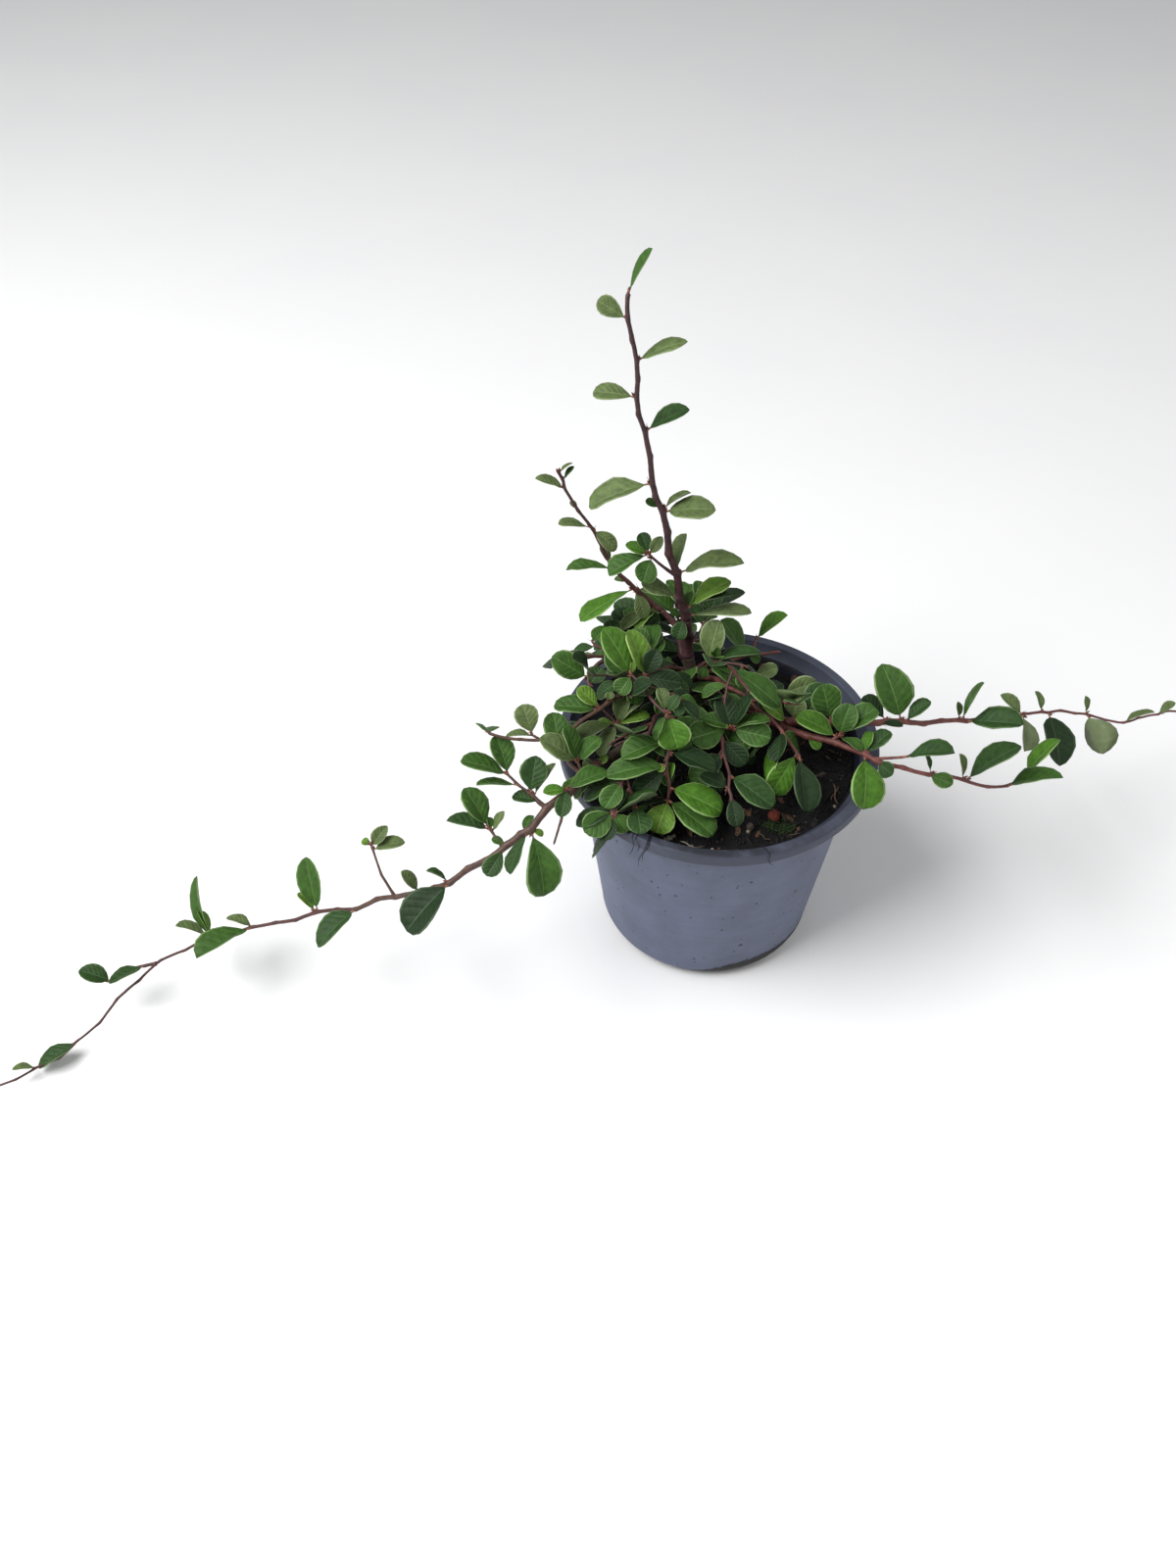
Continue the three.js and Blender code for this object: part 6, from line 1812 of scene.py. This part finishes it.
# %% Grains
# Corners of a body of twenty triangles: those of three golden rectangles, square to each other
ICO_CORNERS = unit(np.array([
    (0, s * 1.0, t * 1.618) if k == 0 else (s * 1.0, t * 1.618, 0) if k == 1 else (t * 1.618, 0, s * 1.0)
    for k in range(3) for s in (-1, 1) for t in (-1, 1)
]))


def ico_faces():
    """The twenty triangles of a body with twelve corners: every three that are each other's neighbours."""
    near = np.linalg.norm(ICO_CORNERS[:, None] - ICO_CORNERS[None], axis=-1) < 1.1
    faces = []
    for i, j, k in ((i, j, k) for i in range(12) for j in range(i + 1, 12) for k in range(j + 1, 12)):
        if near[i, j] and near[j, k] and near[i, k]:
            outward = np.dot(np.cross(ICO_CORNERS[j], ICO_CORNERS[k]), ICO_CORNERS[i]) > 0
            faces.append((i, j, k) if outward else (i, k, j))
    return np.array(faces)


def turns(rng, count):
    """Random turns (count, 3, 3): the axes of each are three square unit vectors, right-handed."""
    a = unit(rng.normal(size=(count, 3)))
    b = unit(np.cross(a, unit(rng.normal(size=(count, 3)))))
    return np.stack([a, b, np.cross(a, b)], axis=1)


def add_grains(shape, rng, places, sizes, stretch, materials, rough=0.25, lift=0.3, smooth=False):
    """Grains: corners of the twelve-cornered body times size, stretch and a random share, turned and set
    down."""
    count = len(places)
    shares = 1 + rng.uniform(-rough, rough, (count, 12, 1))
    bodies = ICO_CORNERS[None] * shares * (sizes[:, None] * stretch)[:, None, :]
    bodies = bodies @ turns(rng, count)
    floor = soil_rise(places) + SOIL_TOP + sizes * lift
    middles = np.concatenate([places[:, :2], floor[:, None]], -1)
    faces = repeated(ico_faces(), 12, count)
    shape.add(middles[:, None] + bodies, [(faces, np.repeat(materials, 20), smooth)])


def spread_out(rng, count, reach=SOIL_SIDE - 1.2):
    """Random places (count, 3) on a disc, even in area: the radius is the root of a random share."""
    radius, a = reach * np.sqrt(rng.random(count)), 2 * np.pi * rng.random(count)
    return np.stack([radius * np.cos(a), radius * np.sin(a), 0 * a], -1)


# %% Compost finishes
COMPOST_COLOURS = {
    "crumb_black": [(14, 14, 15), (6, 6, 7)],
    "crumb_brown": [(26, 22, 21), (13, 12, 12)],
    "crumb_grey": [(78, 68, 60), (46, 40, 37)],
    "bark_chip": [(92, 68, 48), (54, 38, 28)],
    "grit": [(150, 142, 128), (112, 104, 94)],
    "clay": [(134, 66, 50), (92, 42, 34)],
    "moss": [(44, 62, 26), (22, 34, 16)],
    "root": [(98, 82, 62), (66, 52, 42)],
}
COMPOST_MATERIALS = finishes(
    COMPOST_COLOURS, scale=700.0, amount=1.0, roughness=0.85, bump_scale=2500.0, bump=0.15, specular=0.3,
)
BLACK, CRUMB, GREY, CHIP, GRIT, CLAY, MOSS, ROOT = range(8)

# %% Scatter the grains
CRUMB_COUNT, CHIP_COUNT, MOSS_COUNT = 3600, 150, 260
rng = np.random.default_rng(21)
crumbs = Shape()
count = CRUMB_COUNT
sizes = 0.35 + 0.55 * rng.random(count) ** 2.2 + 0.5 * (rng.random(count) < 0.06)
kinds = rng.choice([BLACK, CRUMB, GREY], count, p=[0.62, 0.32, 0.06])
add_grains(crumbs, rng, spread_out(rng, count), sizes, np.array([1.0, 0.9, 0.8]), kinds)
crumbs = crumbs.piece("compost_crumbs", COMPOST_MATERIALS)
chips = Shape()
count = CHIP_COUNT
add_grains(chips, rng, spread_out(rng, count), rng.uniform(0.9, 2.2, count), np.array([1.5, 0.65, 0.32]),
           rng.choice([CHIP, CRUMB, GREY], count, p=[0.4, 0.4, 0.2]), lift=0.15)
chips = chips.piece("bark_chips", COMPOST_MATERIALS)

# %% Bits that lie in a place of their own
# x, y, size in millimetres, kind
SET_GRAINS = np.array([
    (19.8, -37.8, 2.9, CLAY), (10.0, -43.2, 2.1, GREY), (9.2, -45.0, 1.0, GRIT), (35.2, -42.1, 2.3, CRUMB),
    (-21.5, -48.6, 1.5, GRIT), (-19.9, -47.4, 1.1, GRIT), (-23.2, -49.0, 0.9, GRIT), (-5.2, -54.1, 0.9, GRIT),
    (-2.6, -53.6, 0.8, CHIP), (29.0, -43.7, 1.2, CHIP), (44.5, -31.9, 0.9, GRIT), (36.0, 41.0, 2.6, CHIP),
    (23.0, 49.0, 2.4, CHIP), (41.0, 33.0, 1.8, CHIP), (30.0, 38.0, 1.4, GREY),
])
# Both ends of a fibre x, y, x, y, its radius and its kind
SET_FIBRES = np.array([
    (45.0, -20.7, 45.6, -31.3, 0.35, ROOT), (47.0, -22.0, 43.0, -29.0, 0.25, ROOT),
    (-17.5, -50.5, -10.6, -54.0, 0.3, GRIT), (-13.5, -52.4, -12.0, -55.2, 0.16, GRIT),
    (13.0, -47.0, 17.5, -49.5, 0.2, ROOT), (24.0, -47.5, 29.5, -46.0, 0.2, ROOT), (22, 30, 31, 33, 0.35, ROOT),
])
# Hair roots that hang over the rim: turn on the rim in degrees, turn and height of the free end
HAIRS = np.array([
    (243.0, 241.0, 94.0), (243.0, 239.5, 89.5), (237.5, 236.0, 93.5), (237.5, 239.0, 98.0), (281.0, 285.0, 98.5),
])
# Their way from the soil over the rim, which they leave half-way: share of the length, radius, height
OVER_RIM = np.array([(0, 53, 97.8), (0.25, 60, 105.4), (0.42, 64.8, 105.4), (0.5, 65.5, 104.2)])
HAIR_RADIUS = 0.16
bits = Shape()
places = np.stack([SET_GRAINS[:, 0], SET_GRAINS[:, 1], 0 * SET_GRAINS[:, 0]], -1)
stretch = np.array([1.0, 0.92, 0.86])
add_grains(bits, rng, places, SET_GRAINS[:, 2], stretch, SET_GRAINS[:, 3].astype(int), 0.14, 0.35, True)
count = MOSS_COUNT
around = np.array([(17.7, -42.1, 0), (22.4, -44.2, 0), (24.8, -41.6, 0)])[rng.integers(0, 3, count)]
add_grains(bits, rng, around + rng.normal(0, 1, (count, 3)) * [1.9, 1.3, 0], rng.uniform(0.25, 0.7, count),
           np.array([1.6, 0.5, 0.5]), np.full(count, MOSS), lift=1.2)


def add_fibres(shape, paths, radius, kinds):
    """Thin round strands along paths (n, k, 3), each of one radius and kind, pointed at both ends."""
    for path, size, kind in zip(paths, radius, kinds):
        radii = np.full(len(path), size)
        radii[[0, -1]] = 0.3 * size
        add_spindles(shape, path[None], radii[None], 6, int(kind))


t = np.linspace(0, 1, 9)[None, :, None]
ends = SET_FIBRES[:, None, :4]
paths = ends[..., :2] * (1 - t) + ends[..., 2:] * t
paths = paths + np.stack([np.sin(7 * t[..., 0]), np.cos(5 * t[..., 0])], -1) * 0.5
heights = SOIL_TOP + soil_rise(paths) + 0.7 + 0.5 * np.sin(np.pi * t[..., 0])
add_fibres(bits, np.concatenate([paths, heights[..., None]], -1), SET_FIBRES[:, 4], SET_FIBRES[:, 5])
foot, end, low = np.radians(HAIRS[:, :1]), np.radians(HAIRS[:, 1:2]), HAIRS[:, 2:]
share = np.array([0, 0.12, 0.25, 0.34, 0.42, 0.5, 0.6, 0.72, 0.86, 1.0])
reach = np.interp(share, OVER_RIM[:, 0], OVER_RIM[:, 1])
turn = mix(foot, end, share) + 0.012 * np.sin(9 * share + 20 * foot)
rim_end = OVER_RIM[-1, 2]
height = np.where(share < 0.5, np.interp(share, OVER_RIM[:, 0], OVER_RIM[:, 2]),
                  rim_end + (low - rim_end) * (share - 0.5) * 2)
hairs = np.stack([reach * np.cos(turn), reach * np.sin(turn), height], -1)
add_fibres(bits, hairs, np.full(len(HAIRS), HAIR_RADIUS), np.full(len(HAIRS), CRUMB))
bits = bits.piece("compost_bits", COMPOST_MATERIALS)
for grains in (crumbs, chips, bits):
    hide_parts("soil")
